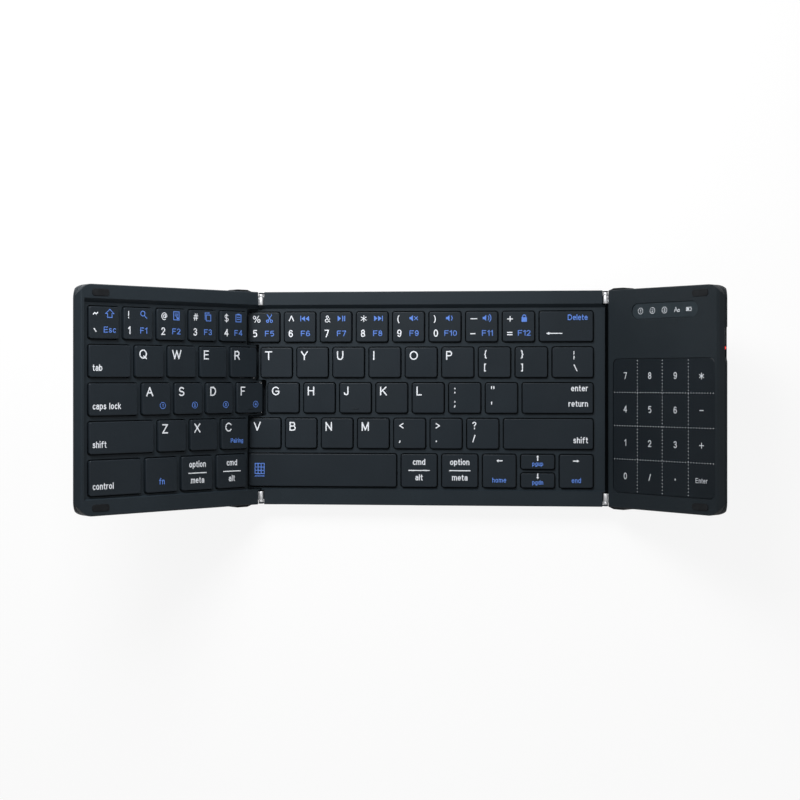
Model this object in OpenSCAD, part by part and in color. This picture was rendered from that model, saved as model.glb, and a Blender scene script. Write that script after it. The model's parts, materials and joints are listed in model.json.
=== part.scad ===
// Three-panel folding keyboard: a middle panel and a key wing on its left, a touchpad wing on its right.
// The panels are drawn lying flat, with the middle panel centred, and each wing is then lifted about its hinge.

/* [Keys] */
// Width of one key unit, from key to key
key_pitch = 17; // [16.6:0.1:17.2]
// Web of deck between two neighbouring key openings
key_web = 1.4; // [1.3:0.05:1.7]
// Height of the openings of the four upper key rows
row_height = 14.85; // [14.5:0.05:15]
// Height of the openings of the space bar's row
space_row_height = 16.2; // [15.5:0.1:16.4]
// Web of deck between two key rows
row_web = 1.7; // [1.5:0.05:1.9]
// How far a key goes down
key_travel = 1.2; // [0.8:0.1:1.2]
// Gap between a key cap and its opening
key_gap = 0.5; // [0.3:0.05:0.6]
// Corner radius of the key openings
key_radius = 1.5; // [1:0.1:1.8]

/* [Panels] */
// Depth of every panel, back to front
panel_depth = 99.5; // [99.4:0.1:100.6]
// Thickness of a panel without its feet
panel_height = 7.05; // [7.05:0.05:7.4]
// Distance between the two fold axes
hinge_span = 160.2; // [160.2:0.1:160.6]
// Length of the key wing, fold axis to outer edge
left_length = 94.7; // [94.5:0.1:96]
// Length of the touchpad wing, fold axis to outer edge
right_length = 62.3; // [61.8:0.1:63]
// Width of the raised rail along the back
rail_width = 6.05; // [5.95:0.05:6.3]
// Width of the raised rail along the front
front_rail_width = 6.95; // [6.85:0.05:7.2]
// Radius of the wings' outer corners
corner_radius = 6.5; // [5:0.5:8]
// Wall thickness of the covers
wall = 1.2; // [1:0.1:1.4]
// Height of the rubber feet
foot_height = 0.5; // [0.4:0.1:0.8]

/* [Fold] */
// Lift of the key wing from flat, as it stands
left_lift = 47.2; // [0:0.1:90]
// Lift of the touchpad wing from flat, as it stands
right_lift = 43.5; // [0:0.1:90]
// Gap between the rails of two closed panels
closed_gap = 0.3; // [0.3:0.05:0.6]
// Radius of the hinge barrels
barrel_radius = 1.12; // [1:0.02:1.2]
// Radius of the hinge pins
pin_radius = 0.5; // [0.4:0.05:0.6]

/* [Touchpad] */
// Width of the touchpad, along the wing
pad_width = 56.1; // [54:0.1:56.2]
// Depth of the touchpad
pad_depth = 60.6; // [58:0.1:61]

/* [Hidden] */
$fn = 48;
eps = 0.01;
big = 400;

// Heights above the table of a panel lying flat
cover_z = foot_height;
rail_z = cover_z + panel_height;
floor_z = cover_z + 1;
parting_z = cover_z + 3.5;
plate_z = floor_z + 1.2;
plate_t = 0.4;
membrane_t = 0.3;
switch_z = plate_z + plate_t + membrane_t;
key_top_z = rail_z - 0.45;
deck_z = key_top_z - key_travel;
deck_t = 1;
cap_height = 1.6;
cap_wall = 0.8;
cap_ceiling_z = key_top_z - cap_wall;
axis_z = rail_z + closed_gap / 2;
axis_x = hinge_span / 2;

// Panel outline
half_depth = panel_depth / 2;
recess_back = half_depth - rail_width;
recess_front = half_depth - front_rail_width;
bottom_chamfer = 1;
top_chamfer = 0.4;
pad_wing_chamfer = 0.9;
// The wings' outer ends lean out down to their widest line, then in again below it
end_draft = 1;
widest_z = parting_z - 0.4;
end_chamfer = 2;
groove = 0.25;
groove_depth = 0.45;
inner_half = half_depth - wall;

// Key layout: the left edge of each row and its key sizes, in key units.
// The middle panel's rows are measured from its middle, the wing's from the fold axis outwards.
center_rows = [
    [-5.095, [1, 1, 1, 1, 1, 1, 1, 1, 1.578]],
    [-4.746, [1, 1, 1, 1, 1, 1, 1, 1, 1.234]],
    [-4.556, [1, 1, 1, 1, 1, 1, 1, 2.04]],
    [-5.064, [1, 1, 1, 1, 1, 1, 1, 2.55]],
    [-5.08, [4.22, 1.1125, 1.113, 1.037, 1.045, 1.035]]
];
wing_edge = -axis_x / key_pitch - 5.351;
left_rows = [
    [wing_edge, [1, 1, 1, 1, 1]],
    [wing_edge, [1.342, 1, 1, 1, 1]],
    [wing_edge, [1.549, 1, 1, 1, 1]],
    [wing_edge, [2.039, 1, 1, 1]],
    [wing_edge, [1.656, 1.105, 1.123, 1.108]]
];
keys_top = 40.7;
wide_key = 20;
half_key_gap = 1;
arrow_column = 4;

function sum(list, n) = n <= 0 ? 0 : list[n - 1] + sum(list, n - 1);
function row_size(r) = r == 4 ? space_row_height : row_height;
function row_top(r) = keys_top - r * (row_height + row_web);
function row_bottom(r) = row_top(r) - row_size(r);
function key_left(rows, r, i) = key_pitch * (rows[r][0] + sum(rows[r][1], i));
function key_width(rows, r, i) = key_pitch * rows[r][1][i] - key_web;
function key_right(rows, r, i) = key_left(rows, r, i) + key_width(rows, r, i);
function last_key(rows, r) = len(rows[r][1]) - 1;

// A key is [middle x, middle y, opening width, opening height].
function key_at(rows, r, i) = [
    key_left(rows, r, i) + key_width(rows, r, i) / 2,
    (row_top(r) + row_bottom(r)) / 2,
    key_width(rows, r, i),
    row_size(r)
];
half_key = (space_row_height - half_key_gap) / 2;
arrow_middle = key_at(center_rows, 4, arrow_column);
up_key = [arrow_middle[0], row_top(4) - half_key / 2, arrow_middle[2], half_key];
down_key = [arrow_middle[0], row_bottom(4) + half_key / 2, arrow_middle[2], half_key];
function row_keys(rows, r, first, last) = [for (i = [first:last]) key_at(rows, r, i)];
center_keys = concat(
    row_keys(center_rows, 0, 0, 8),
    row_keys(center_rows, 1, 0, 8),
    row_keys(center_rows, 2, 0, 7),
    row_keys(center_rows, 3, 0, 7),
    row_keys(center_rows, 4, 0, arrow_column - 1),
    [up_key, down_key, key_at(center_rows, 4, 5)]
);
left_keys = concat(
    row_keys(left_rows, 0, 0, 4),
    row_keys(left_rows, 1, 0, 4),
    row_keys(left_rows, 2, 0, 4),
    row_keys(left_rows, 3, 0, 3),
    row_keys(left_rows, 4, 0, 3)
);

// The seam between the key wing and the middle panel steps round the keys beside it.
// Each band of it, front to back, is [offset from the fold axis, width of the gap, y where the band ends].
seam_gap = 0.4;
slot_gap = 3;
slot_end = half_depth - 6.75;
// The gap passes this close to the cap beside it.
cap_clearance = 0.35;
cap_side = key_gap - cap_clearance - seam_gap / 2;
function seam_by_center(r) = key_left(center_rows, r, 0) + axis_x + cap_side;
function seam_by_wing(r) = key_right(left_rows, r, last_key(left_rows, r)) + axis_x - cap_side;
function web_y(r) = row_bottom(r) - row_web / 2;
seam = [
    [0, slot_gap, -slot_end],
    [0, seam_gap, web_y(4)],
    [seam_by_center(4), seam_gap, web_y(3)],
    [seam_by_center(3), seam_gap, web_y(2)],
    [seam_by_wing(2), seam_gap, web_y(1)],
    [seam_by_wing(1), seam_gap, web_y(0)],
    [seam_by_center(0), seam_gap, row_top(0) + row_web / 2],
    [0, seam_gap, slot_end],
    [0, slot_gap, big]
];
// Which rows' last wing key, rather than the first middle key, stands open at the seam
wing_key_open = [false, true, true, false, false];
// side is 1 for the middle panel's edge and -1 for the wing's.
function seam_path(side) = [
    for (b = [0:len(seam) - 2])
        let (step = sign(seam[b + 1][0] - seam[b][0]), y = seam[b][2] - side * step * seam_gap / 2)
        each [[seam[b][0] + side * seam[b][1] / 2 - axis_x, y],
              [seam[b + 1][0] + side * seam[b + 1][1] / 2 - axis_x, y]]
];
function row_seam(r) = wing_key_open[r] ? seam_by_wing(r) : seam_by_center(r);
seam_wall = 0.6;
center_core = -axis_x + 2.9;
left_core = -axis_x - 8.6;
// The right fold's gap: the middle deck reaches almost to the axis, the wing stays clear of it.
right_deck_gap = 0.25;
right_wing_gap = 1.5;

// The middle cover runs on under both wings as a thin ledge, so the open seam shows no daylight.
// The wings' covers are stepped over it.
ledge_t = 0.4;
ledge_run = 3.2;
hinge_ledge_run = 4.5;
right_ledge_x = 2.4;
ledge_end = half_depth - 1.6;
ledge_gap = 0.4;
ledge_lap = 0.8;
ledge_root = 1.5;
step_z = cover_z + 0.95;
step_floor_z = step_z + 0.6;

// Hinges: each barrel is a short knuckle on the middle panel and a long one on the wing.
barrel_end = half_depth - 1.1;
barrel_length = 5;
short_knuckle = 1.3;
knuckle_gap = 0.1;
pin_clearance = 0.05;
leaf_t = 0.5;
leaf_length = 4.5;
leaf_gap = 0.04;
leaf_z = axis_z - barrel_radius;
hinge_end_y = barrel_end + 0.15;
hinge_end_t = 0.55;

// Touchpad wing, measured from its fold axis
pad_start = 4.3;
pad_back = 18.1;
pad_radius = 2.8;
pad_gap = 0.2;
pad_top_drop = 0.2;
pad_t = 0.8;
lid_t = 1.8;
board_t = 0.8;
window_start = 15.1;
window_length = 36.4;
window_depth = 7;
window_y = 39.5;
window_drop = 0.35;
light_starts = [19.9, 26.6, 33.3, 39.9, 46.6];
port_y = 27.4;
port_size = [5.2, 7.4, 2.35];
port_z = floor_z + 0.1;
port_scoop = [16.3, 31.4];
port_scoop_depth = 1.6;
port_face = right_length + end_draft - port_scoop_depth;
charge_light_y = 22.4;
charge_light_radius = 0.5;
battery_size = [50, 34, 3];
battery_y = -20.6;
main_board_z = floor_z + 0.4;

// Rubber parts
bumper_length = 8.4;
bumper_width = 3;
bumper_proud = 0.25;
bumper_seat = 0.5;
bumper_y = half_depth - 3.5;
left_bumper_x = 85.2;
right_bumper_x = 52.8;
lug_length = 10.5;
lug_taper = 2.4;
lug_proud = 0.8;
lug_height = rail_z - 0.5;
left_lug_x = 10;
right_lug_x = 6.9;
center_foot_length = 138;
center_foot_y = 38;
foot_width = 5;
pad_foot_length = 16;

// Screws, through the covers into bosses under the rails
screw_y = half_depth - 3.5;
center_screw_x = [-60, 0, 60];
left_screw_x = [28, 76];
right_screw_x = [20, 42];
screw_head_radius = 1.5;
screw_head_t = 0.6;
screw_radius = 0.7;
screw_length = 3.8;
boss_radius = 1.9;
boss_z = floor_z + 1.1;
screw_hole = 0.9;

// Scissor links and rubber domes under the keys
link_size = [9.6, 8.4];
link_bar = 0.8;
link_t = 0.6;
link_angle = 13;
small_link_depth = 4.6;
dome_base = 2;
dome_top = 1.2;
small_dome_base = 0.5;
small_dome_top = 0.4;
wire_radius = 0.35;
wire_offset = 5.2;
wire_inset = 3;

// The origin is under the middle of the whole keyboard as it stands.
function lifted_x(s, z, lift) = axis_x + s * cos(lift) - (z - axis_z) * sin(lift);
function reach(length, lift) = max(
    lifted_x(length + end_draft, widest_z, lift),
    lifted_x(length + end_draft, cover_z + end_chamfer, lift),
    lifted_x(length + end_draft - end_chamfer, cover_z, lift)
);
middle_x = (reach(right_length, right_lift) - reach(left_length, left_lift)) / 2;

shell_color = [0.15, 0.17, 0.19];
key_color = [0.13, 0.15, 0.17];
rubber_color = [0.06, 0.06, 0.07];
steel_color = [0.75, 0.76, 0.78];
plate_color = [0.6, 0.61, 0.63];
film_color = [0.35, 0.5, 0.45];
dome_color = [0.85, 0.85, 0.82];
link_color = [0.92, 0.92, 0.9];
board_color = [0.1, 0.35, 0.2];

// Places on the three bodies
module on_center() { translate([-middle_x, 0, 0]) children(); }
module on_left() {
    translate([-middle_x - axis_x, 0, axis_z]) rotate([0, left_lift, 0])
        translate([axis_x, 0, -axis_z]) children();
}
module on_right() {
    translate([-middle_x + axis_x, 0, axis_z]) rotate([0, -right_lift, 0])
        translate([-axis_x, 0, -axis_z]) children();
}

// Flat shapes
module rounded_square(w, d, r) {
    square([w - 2 * r, d], center = true);
    square([w, d - 2 * r], center = true);
    for (x = [-1, 1], y = [-1, 1]) translate([x * (w / 2 - r), y * (d / 2 - r)]) circle(r);
}
module rounded_block(w, d, r, z0, z1) {
    translate([0, 0, z0]) linear_extrude(z1 - z0) rounded_square(w, d, r);
}
module slab(x0, x1, y0, y1, z0, z1) { translate([x0, y0, z0]) cube([x1 - x0, y1 - y0, z1 - z0]); }
module both_rails() { children(); mirror([0, 1, 0]) children(); }

// A wing's outline with round outer corners, drawn towards +X from x0 to x1
module wing_shape(x0, x1, inset) {
    r = corner_radius - inset;
    d = half_depth - inset;
    translate([x0, -d]) square([x1 - inset - r - x0, 2 * d]);
    translate([x0, -d + r]) square([x1 - inset - x0, 2 * (d - r)]);
    for (y = [-1, 1]) translate([x1 - inset - r, y * (d - r)]) circle(r);
}
module center_outline(inset = 0) {
    d = half_depth - inset;
    path = seam_path(1);
    polygon(concat(
        [[path[0][0], -d]], path, [[path[len(path) - 1][0], d]],
        [[axis_x - right_wing_gap, d], [axis_x - right_wing_gap, slot_end],
         [axis_x - right_deck_gap, slot_end], [axis_x - right_deck_gap, -slot_end],
         [axis_x - right_wing_gap, -slot_end], [axis_x - right_wing_gap, -d]]
    ));
}
module left_outline(inset = 0) {
    d = half_depth - inset;
    path = seam_path(-1);
    polygon(concat([[-axis_x - 20, -d], [path[0][0], -d]], path, [[path[len(path) - 1][0], d], [-axis_x - 20, d]]));
    mirror([1, 0]) wing_shape(axis_x + 19, axis_x + left_length + end_draft, inset);
}
module right_outline(inset = 0) { wing_shape(axis_x + right_wing_gap, axis_x + right_length + end_draft, inset); }

// The left ledge band by band along the seam, and the right one, with a margin all round
module left_ledge_shape(margin) {
    limit = ledge_end + margin;
    last = len(seam) - 1;
    intersection() {
        translate([-axis_x - big / 2, -limit]) square([big, 2 * limit]);
        union() {
            for (b = [0:last]) {
                y0 = b == 0 ? -limit : seam[b - 1][2];
                y1 = b == last ? limit : seam[b][2];
                run = b == 0 || b == last ? hinge_ledge_run : ledge_run;
                ledge_piece(seam[b][0] + seam[b][1] / 2 - run, seam[b][0], y0, y1, margin);
            }
            for (b = [0:last - 1])
                ledge_piece(min(seam[b][0], seam[b + 1][0]) - ledge_run, max(seam[b][0], seam[b + 1][0]),
                            seam[b][2], seam[b][2], margin);
        }
    }
}
module ledge_piece(x0, x1, y0, y1, margin) {
    translate([x0 - axis_x - margin, y0 - ledge_lap - margin])
        square([x1 - x0 + ledge_root + margin, y1 - y0 + 2 * (ledge_lap + margin)]);
}
module right_ledge_shape(margin) {
    limit = ledge_end + margin;
    translate([axis_x - right_wing_gap - ledge_root, -limit])
        square([right_ledge_x + margin + right_wing_gap + ledge_root, 2 * limit]);
}

// Cross sections with their chamfered edges: of any panel from the side, and of a wing's outer end from the front
module depth_section() {
    rotate([90, 0, 90]) linear_extrude(big, center = true) polygon([
        [-half_depth + bottom_chamfer, cover_z], [half_depth - bottom_chamfer, cover_z],
        [half_depth, cover_z + bottom_chamfer], [half_depth, rail_z - top_chamfer],
        [half_depth - top_chamfer, rail_z], [-half_depth + top_chamfer, rail_z],
        [-half_depth, rail_z - top_chamfer], [-half_depth, cover_z + bottom_chamfer]
    ]);
}
module end_section(length, chamfer) {
    rotate([90, 0, 0]) linear_extrude(big, center = true) polygon([
        [0, cover_z], [length + end_draft - end_chamfer, cover_z], [length + end_draft, cover_z + end_chamfer],
        [length + end_draft, widest_z], [length, rail_z - chamfer], [length - chamfer, rail_z], [0, rail_z]
    ]);
}
// The whole space of a panel between two heights
module center_block(z0, z1) {
    intersection() {
        translate([0, 0, z0]) linear_extrude(z1 - z0) center_outline();
        depth_section();
    }
}
module left_block(z0, z1) {
    intersection() {
        translate([0, 0, z0]) linear_extrude(z1 - z0) left_outline();
        depth_section();
        mirror([1, 0, 0]) end_section(axis_x + left_length, top_chamfer);
    }
}
module right_block(z0, z1) {
    intersection() {
        translate([0, 0, z0]) linear_extrude(z1 - z0) right_outline();
        depth_section();
        end_section(axis_x + right_length, pad_wing_chamfer);
    }
}

// The recess that the keys stand in: its back wall slopes, the front one less
back_slope = 1.7;
front_slope = 0.6;
end_slope = 0.9;
module key_recess(x0, x1) {
    rotate([90, 0, 90]) translate([0, 0, x0]) linear_extrude(x1 - x0) polygon([
        [-recess_front + front_slope, deck_z], [recess_back - back_slope, deck_z],
        [recess_back, rail_z + eps], [-recess_front, rail_z + eps]
    ]);
}
// The outer end of the wing's recess slopes too.
module wing_recess() {
    rim_x = -axis_x - left_length + 1.5;
    intersection() {
        key_recess(rim_x, 0);
        rotate([90, 0, 0]) linear_extrude(big, center = true) polygon([
            [rim_x + end_slope, deck_z], [0, deck_z], [0, rail_z + eps], [rim_x, rail_z + eps]
        ]);
    }
}
// The front rail is lowered where the thumbs reach over it to the space bar.
relief_x = [-71.1, -8.5];
relief_run = 4;
relief_z = key_top_z - 0.35;
module thumb_relief() {
    rotate([90, 0, 0]) translate([0, 0, row_bottom(4) * -1 - key_gap]) linear_extrude(20) polygon([
        [relief_x[0], relief_z], [relief_x[1], relief_z],
        [relief_x[1] + relief_run, rail_z + eps], [relief_x[0] - relief_run, rail_z + eps]
    ]);
}

module key_openings(keys) {
    for (k = keys) translate([k[0], k[1], 0]) rounded_block(k[2], k[3], key_radius, parting_z, rail_z);
}
// The openings of the keys beside the seam run out through the deck's edge.
module open_sides(rows, wing) {
    for (r = [0:4]) if (wing_key_open[r] == wing) {
        i = wing ? last_key(rows, r) : 0;
        x = wing ? key_right(rows, r, i) - key_radius : key_left(rows, r, i) - 1;
        slab(x, x + key_radius + 1, row_bottom(r), row_top(r), parting_z, rail_z);
    }
}
// Small lips close the deck's edge above the cover at the other rows.
module seam_lips(wing) {
    for (r = [0:4]) if (wing_key_open[r] != wing) {
        x = row_seam(r) - axis_x + (wing ? -seam_gap / 2 - seam_wall : seam_gap / 2);
        slab(x, x + seam_wall, row_bottom(r), row_top(r), parting_z + 0.3, deck_z - deck_t + eps);
    }
}
// The hollow beside the seam, one tongue for each row, for the plate, membrane and switches
module row_tongues(wing, margin, z0, z1) {
    for (r = [0:4]) {
        edge = row_seam(r) - axis_x + (wing ? -1 : 1) * (seam_gap / 2 + seam_wall + margin);
        x0 = wing ? left_core - 1 : edge;
        x1 = wing ? edge : center_core + 1;
        slab(x0, x1, row_bottom(r) + margin, row_top(r) - margin, z0, z1);
    }
}
module center_hollow(margin, z0, z1) {
    slab(center_core + margin, axis_x - right_wing_gap - wall - margin,
         -inner_half + margin, inner_half - margin, z0, z1);
    row_tongues(false, margin, z0, z1);
}
module left_hollow(margin, z0, z1) {
    translate([0, 0, z0]) linear_extrude(z1 - z0)
        mirror([1, 0]) wing_shape(-left_core + margin, axis_x + left_length, wall + margin);
    row_tongues(true, margin, z0, z1);
}
module right_hollow(z0, z1) {
    translate([0, 0, z0]) linear_extrude(z1 - z0)
        wing_shape(axis_x + right_wing_gap + wall, axis_x + right_length, wall);
}

// Ribs on a cover's floor carry the key plate.
module floor_ribs(x0, x1, count) {
    for (i = [0:count - 1]) let (x = x0 + (x1 - x0) * i / (count - 1))
        slab(x - 0.5, x + 0.5, -recess_front + 2, recess_back - 2, floor_z - eps, plate_z);
}
module groove_ring() {
    difference() {
        slab(-big, big, -big, big, parting_z - groove, parting_z + eps);
        translate([0, 0, parting_z - 1]) linear_extrude(2) children();
    }
}
module screw_posts(xs) { for (x = xs) both_rails() translate([x, screw_y, floor_z - eps]) cylinder(r = boss_radius + 0.3, h = boss_z - floor_z); }
module screw_holes(xs) {
    for (x = xs) both_rails() translate([x, screw_y, 0]) {
        cylinder(r = screw_hole, h = boss_z + 1);
        cylinder(r = screw_head_radius + 0.2, h = cover_z + screw_head_t + 0.15);
    }
}
module bosses(xs, top) {
    for (x = xs) both_rails() translate([x, screw_y, boss_z]) cylinder(r = boss_radius, h = top - boss_z + eps);
}
module boss_holes(xs) {
    for (x = xs) both_rails() translate([x, screw_y, boss_z - eps]) cylinder(r = screw_radius + 0.02, h = 2.4);
}
module screws(xs) {
    color(steel_color) for (x = xs) both_rails() translate([x, screw_y, cover_z + 0.1]) difference() {
        union() {
            cylinder(r = screw_head_radius, h = screw_head_t);
            cylinder(r = screw_radius, h = screw_length);
        }
        for (a = [0, 90]) rotate([0, 0, a]) cube([1.6, 0.35, 0.6], center = true);
    }
}

// Pockets in the rails for the hinge leaves. The leaf's own shape, without its knuckle, is drawn towards +X.
function leaf_y0(long) = long ? barrel_end - barrel_length : barrel_end - short_knuckle;
function leaf_y1(long) = long ? barrel_end - short_knuckle - knuckle_gap : barrel_end;
module leaf_plate(long, gap = 0) {
    slab(0, leaf_length + gap, leaf_y0(long) - gap, leaf_y1(long) + gap, leaf_z - gap, leaf_z + leaf_t + gap);
    slab(3, leaf_length + gap, barrel_end - barrel_length - gap, barrel_end + gap, leaf_z - gap, leaf_z + leaf_t + gap);
}
module leaf_pockets(long) { both_rails() leaf_plate(long, leaf_gap); }

// Middle panel
module center_bottom_cover() {
    color(shell_color) on_center() difference() {
        union() {
            difference() {
                center_block(cover_z, parting_z);
                center_hollow(0, floor_z, parting_z + eps);
            }
            floor_ribs(-70, 70, 8);
            screw_posts(center_screw_x);
            translate([0, 0, cover_z]) linear_extrude(ledge_t) left_ledge_shape(0);
            translate([0, 0, cover_z]) linear_extrude(ledge_t) right_ledge_shape(0);
        }
        groove_ring() center_outline(groove_depth);
        screw_holes(center_screw_x);
    }
}
module center_top_frame() {
    color(shell_color) on_center() difference() {
        union() {
            difference() {
                center_block(parting_z, rail_z);
                center_frame_hollow();
                key_recess(-big / 2, big / 2);
                key_openings(center_keys);
                open_sides(center_rows, false);
                thumb_relief();
            }
            seam_lips(false);
            bosses(center_screw_x, deck_z - deck_t);
            hinge_ends();
        }
        boss_holes(center_screw_x);
        for (side = [-1, 1]) translate([side * axis_x, 0, 0]) mirror([side > 0 ? 1 : 0, 0, 0]) leaf_pockets(false);
    }
}
// A round end stands behind each barrel, on the middle panel's rail.
module hinge_ends() {
    for (side = [-1, 1]) both_rails() translate([side * axis_x, 0, 0]) {
        translate([0, hinge_end_y, axis_z]) rotate([-90, 0, 0]) cylinder(r = barrel_radius, h = hinge_end_t);
        translate([side > 0 ? -slot_gap / 2 - 1 : 0, hinge_end_y, leaf_z])
            cube([slot_gap / 2 + 1, hinge_end_t, rail_z - leaf_z]);
    }
}
module center_frame_hollow() {
    z1 = deck_z - deck_t;
    slab(-axis_x + right_wing_gap + wall, axis_x - right_wing_gap - wall, -inner_half, inner_half, parting_z - eps, z1);
    slab(-axis_x - 8, axis_x - right_deck_gap - seam_wall, -recess_front + 1, recess_back - 2, parting_z - eps, z1);
}
module center_key_plate() {
    color(plate_color) on_center() difference() {
        intersection() {
            center_hollow(0.2, plate_z, plate_z + plate_t);
            slab(-big, big, -recess_front, recess_back, 0, big);
        }
        for (k = center_keys) translate([k[0], k[1] + min(k[3] / 2 - 2.2, 4.7), plate_z - 1]) cylinder(r = 0.6, h = 3);
    }
}
module center_membrane() {
    color(film_color) on_center() intersection() {
        center_hollow(0.3, plate_z + plate_t, switch_z);
        slab(-big, big, -recess_front + 0.2, recess_back - 0.2, 0, big);
    }
}
module rubber_domes(keys) {
    color(dome_color) for (k = keys) translate([k[0], k[1], switch_z]) {
        small = k[3] < row_height - 1;
        base = small ? small_dome_base : dome_base;
        top = small ? small_dome_top : dome_top;
        height = cap_ceiling_z - switch_z;
        skin = small ? 0.2 : 0.3;
        difference() {
            cylinder(r1 = base, r2 = top, h = height);
            translate([0, 0, -eps]) cylinder(r1 = base - skin, r2 = top - skin, h = height - 0.7);
        }
    }
}
module center_domes() { on_center() rubber_domes(center_keys); }

// One scissor is an outer and an inner link, crossed. The inner one passes inside the outer one.
module link_ring(w, d) {
    difference() {
        cube([w, d, link_t], center = true);
        cube([w - 2 * link_bar, d - 2 * link_bar, 2 * link_t], center = true);
    }
}
module scissors(keys) {
    color(link_color) for (k = keys) translate([k[0], k[1], (switch_z + cap_ceiling_z) / 2]) {
        small = k[3] < row_height - 1;
        d = small ? small_link_depth : link_size[1];
        bar = small ? 0.8 : 1;
        rotate([0, link_angle, 0]) difference() {
            cube([link_size[0], d, link_t], center = true);
            cube([link_size[0] - 2 * bar, d - 2 * bar, 2 * link_t], center = true);
        }
        rotate([0, -link_angle, 0]) link_ring(link_size[0], d - 2 * bar - 0.3);
    }
}
module center_scissors() { on_center() scissors(center_keys); }

module rod(p, q, r) {
    v = q - p;
    translate(p) rotate([0, acos(v[2] / norm(v)), atan2(v[1], v[0])]) cylinder(r = r, h = norm(v));
}
// A bent wire keeps each wide key level: a bar under the cap with a leg down to the plate at each end.
module stabilizers(keys) {
    color(steel_color) for (k = keys) if (k[2] > wide_key) translate([k[0], k[1], 0]) {
        end_x = k[2] / 2 - wire_inset;
        high = cap_ceiling_z - wire_radius - 0.1;
        low = switch_z + wire_radius + 0.1;
        rod([-end_x, wire_offset, high], [end_x, wire_offset, high], wire_radius);
        for (side = [-1, 1]) {
            translate([side * end_x, wire_offset, high]) sphere(wire_radius);
            rod([side * end_x, wire_offset, high], [side * end_x, wire_offset - 4, low], wire_radius);
        }
    }
}
module center_stabilizers() { on_center() stabilizers(center_keys); }
module center_screws() { on_center() screws(center_screw_x); }
module center_feet() {
    color(rubber_color) on_center() both_rails() translate([0, center_foot_y, 0])
        rounded_block(center_foot_length, foot_width, foot_width / 2 - eps, 0, foot_height);
}

// Key wing
module left_bottom_cover() {
    color(shell_color) on_left() difference() {
        union() {
            difference() {
                left_block(cover_z, parting_z);
                left_hollow(0, floor_z, parting_z + eps);
            }
            floor_ribs(-axis_x - 88, -axis_x - 14, 5);
            screw_posts(wing_screws_left());
            intersection() {
                left_block(cover_z, step_floor_z);
                linear_extrude(rail_z) left_ledge_shape(ledge_gap + 1);
            }
        }
        linear_extrude(step_z) left_ledge_shape(ledge_gap);
        groove_ring() left_outline(groove_depth);
        screw_holes(wing_screws_left());
    }
}
function wing_screws_left() = [for (x = left_screw_x) -axis_x - x];
function wing_screws_right() = [for (x = right_screw_x) axis_x + x];
module left_top_frame() {
    z1 = deck_z - deck_t;
    color(shell_color) on_left() difference() {
        union() {
            difference() {
                left_block(parting_z, rail_z);
                translate([0, 0, parting_z - eps]) linear_extrude(z1 - parting_z + eps)
                    mirror([1, 0]) wing_shape(axis_x + right_wing_gap + wall, axis_x + left_length, wall);
                slab(-axis_x - 20, -axis_x + 2, -recess_front + 1, recess_back - 2, parting_z - eps, z1);
                wing_recess();
                key_openings(left_keys);
                open_sides(left_rows, true);
                left_bumper_seats();
            }
            seam_lips(true);
            bosses(wing_screws_left(), z1);
        }
        boss_holes(wing_screws_left());
        translate([-axis_x, 0, 0]) mirror([1, 0, 0]) leaf_pockets(true);
    }
}
module left_key_plate() {
    color(plate_color) on_left() difference() {
        intersection() {
            left_hollow(0.2, plate_z, plate_z + plate_t);
            slab(-big, big, -recess_front, recess_back, 0, big);
        }
        for (k = left_keys) translate([k[0], k[1] + 4.7, plate_z - 1]) cylinder(r = 0.6, h = 3);
    }
}
module left_membrane() {
    color(film_color) on_left() intersection() {
        left_hollow(0.3, plate_z + plate_t, switch_z);
        slab(-big, big, -recess_front + 0.2, recess_back - 0.2, 0, big);
    }
}
module left_domes() { on_left() rubber_domes(left_keys); }
module left_scissors() { on_left() scissors(left_keys); }
module left_stabilizers() { on_left() stabilizers(left_keys); }
module left_screws() { on_left() screws(wing_screws_left()); }

// A wing's feet: lugs that wrap round its edges near the hinge, and pads near its outer end
module wing_feet(lug_x, pad_x) {
    both_rails() {
        translate([lug_x, 0, 0]) linear_extrude(lug_height) polygon([
            [-lug_length / 2, half_depth - 5], [lug_length / 2, half_depth - 5],
            [lug_length / 2, half_depth], [lug_length / 2 - lug_taper, half_depth + lug_proud],
            [-lug_length / 2 + lug_taper, half_depth + lug_proud], [-lug_length / 2, half_depth]
        ]);
        translate([pad_x, center_foot_y, 0])
            rounded_block(pad_foot_length, foot_width, foot_width / 2 - eps, 0, foot_height);
    }
}
module left_feet() {
    color(rubber_color) on_left() difference() {
        wing_feet(-axis_x - left_lug_x, -axis_x - 78);
        left_block(cover_z, rail_z);
    }
}
module bumper_set(x, z0, grow) {
    both_rails() translate([x, bumper_y, 0])
        rounded_block(bumper_length + 2 * grow, bumper_width + 2 * grow, bumper_width / 2 + grow - 0.3, z0, rail_z + bumper_proud);
}
module left_bumper_seats() { bumper_set(-axis_x - left_bumper_x, rail_z - bumper_seat, 0.05); }
module left_bumpers() { color(rubber_color) on_left() bumper_set(-axis_x - left_bumper_x, rail_z - bumper_seat, 0); }

// Touchpad wing
module pad_shape(grow) {
    translate([axis_x + pad_start + pad_width / 2, pad_back - pad_depth / 2])
        rounded_square(pad_width + 2 * grow, pad_depth + 2 * grow, pad_radius + grow);
}
module window_shape(grow) {
    translate([axis_x + window_start + window_length / 2, window_y])
        rounded_square(window_length + 2 * grow, window_depth + 2 * grow, window_depth / 2 + grow - eps);
}
module port_cut(grow) {
    translate([axis_x + port_face - port_size[0] / 2, port_y, port_z + port_size[2] / 2])
        cube([port_size[0] + 2, port_size[1] + 2 * grow, port_size[2] + 2 * grow], center = true);
}
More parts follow.
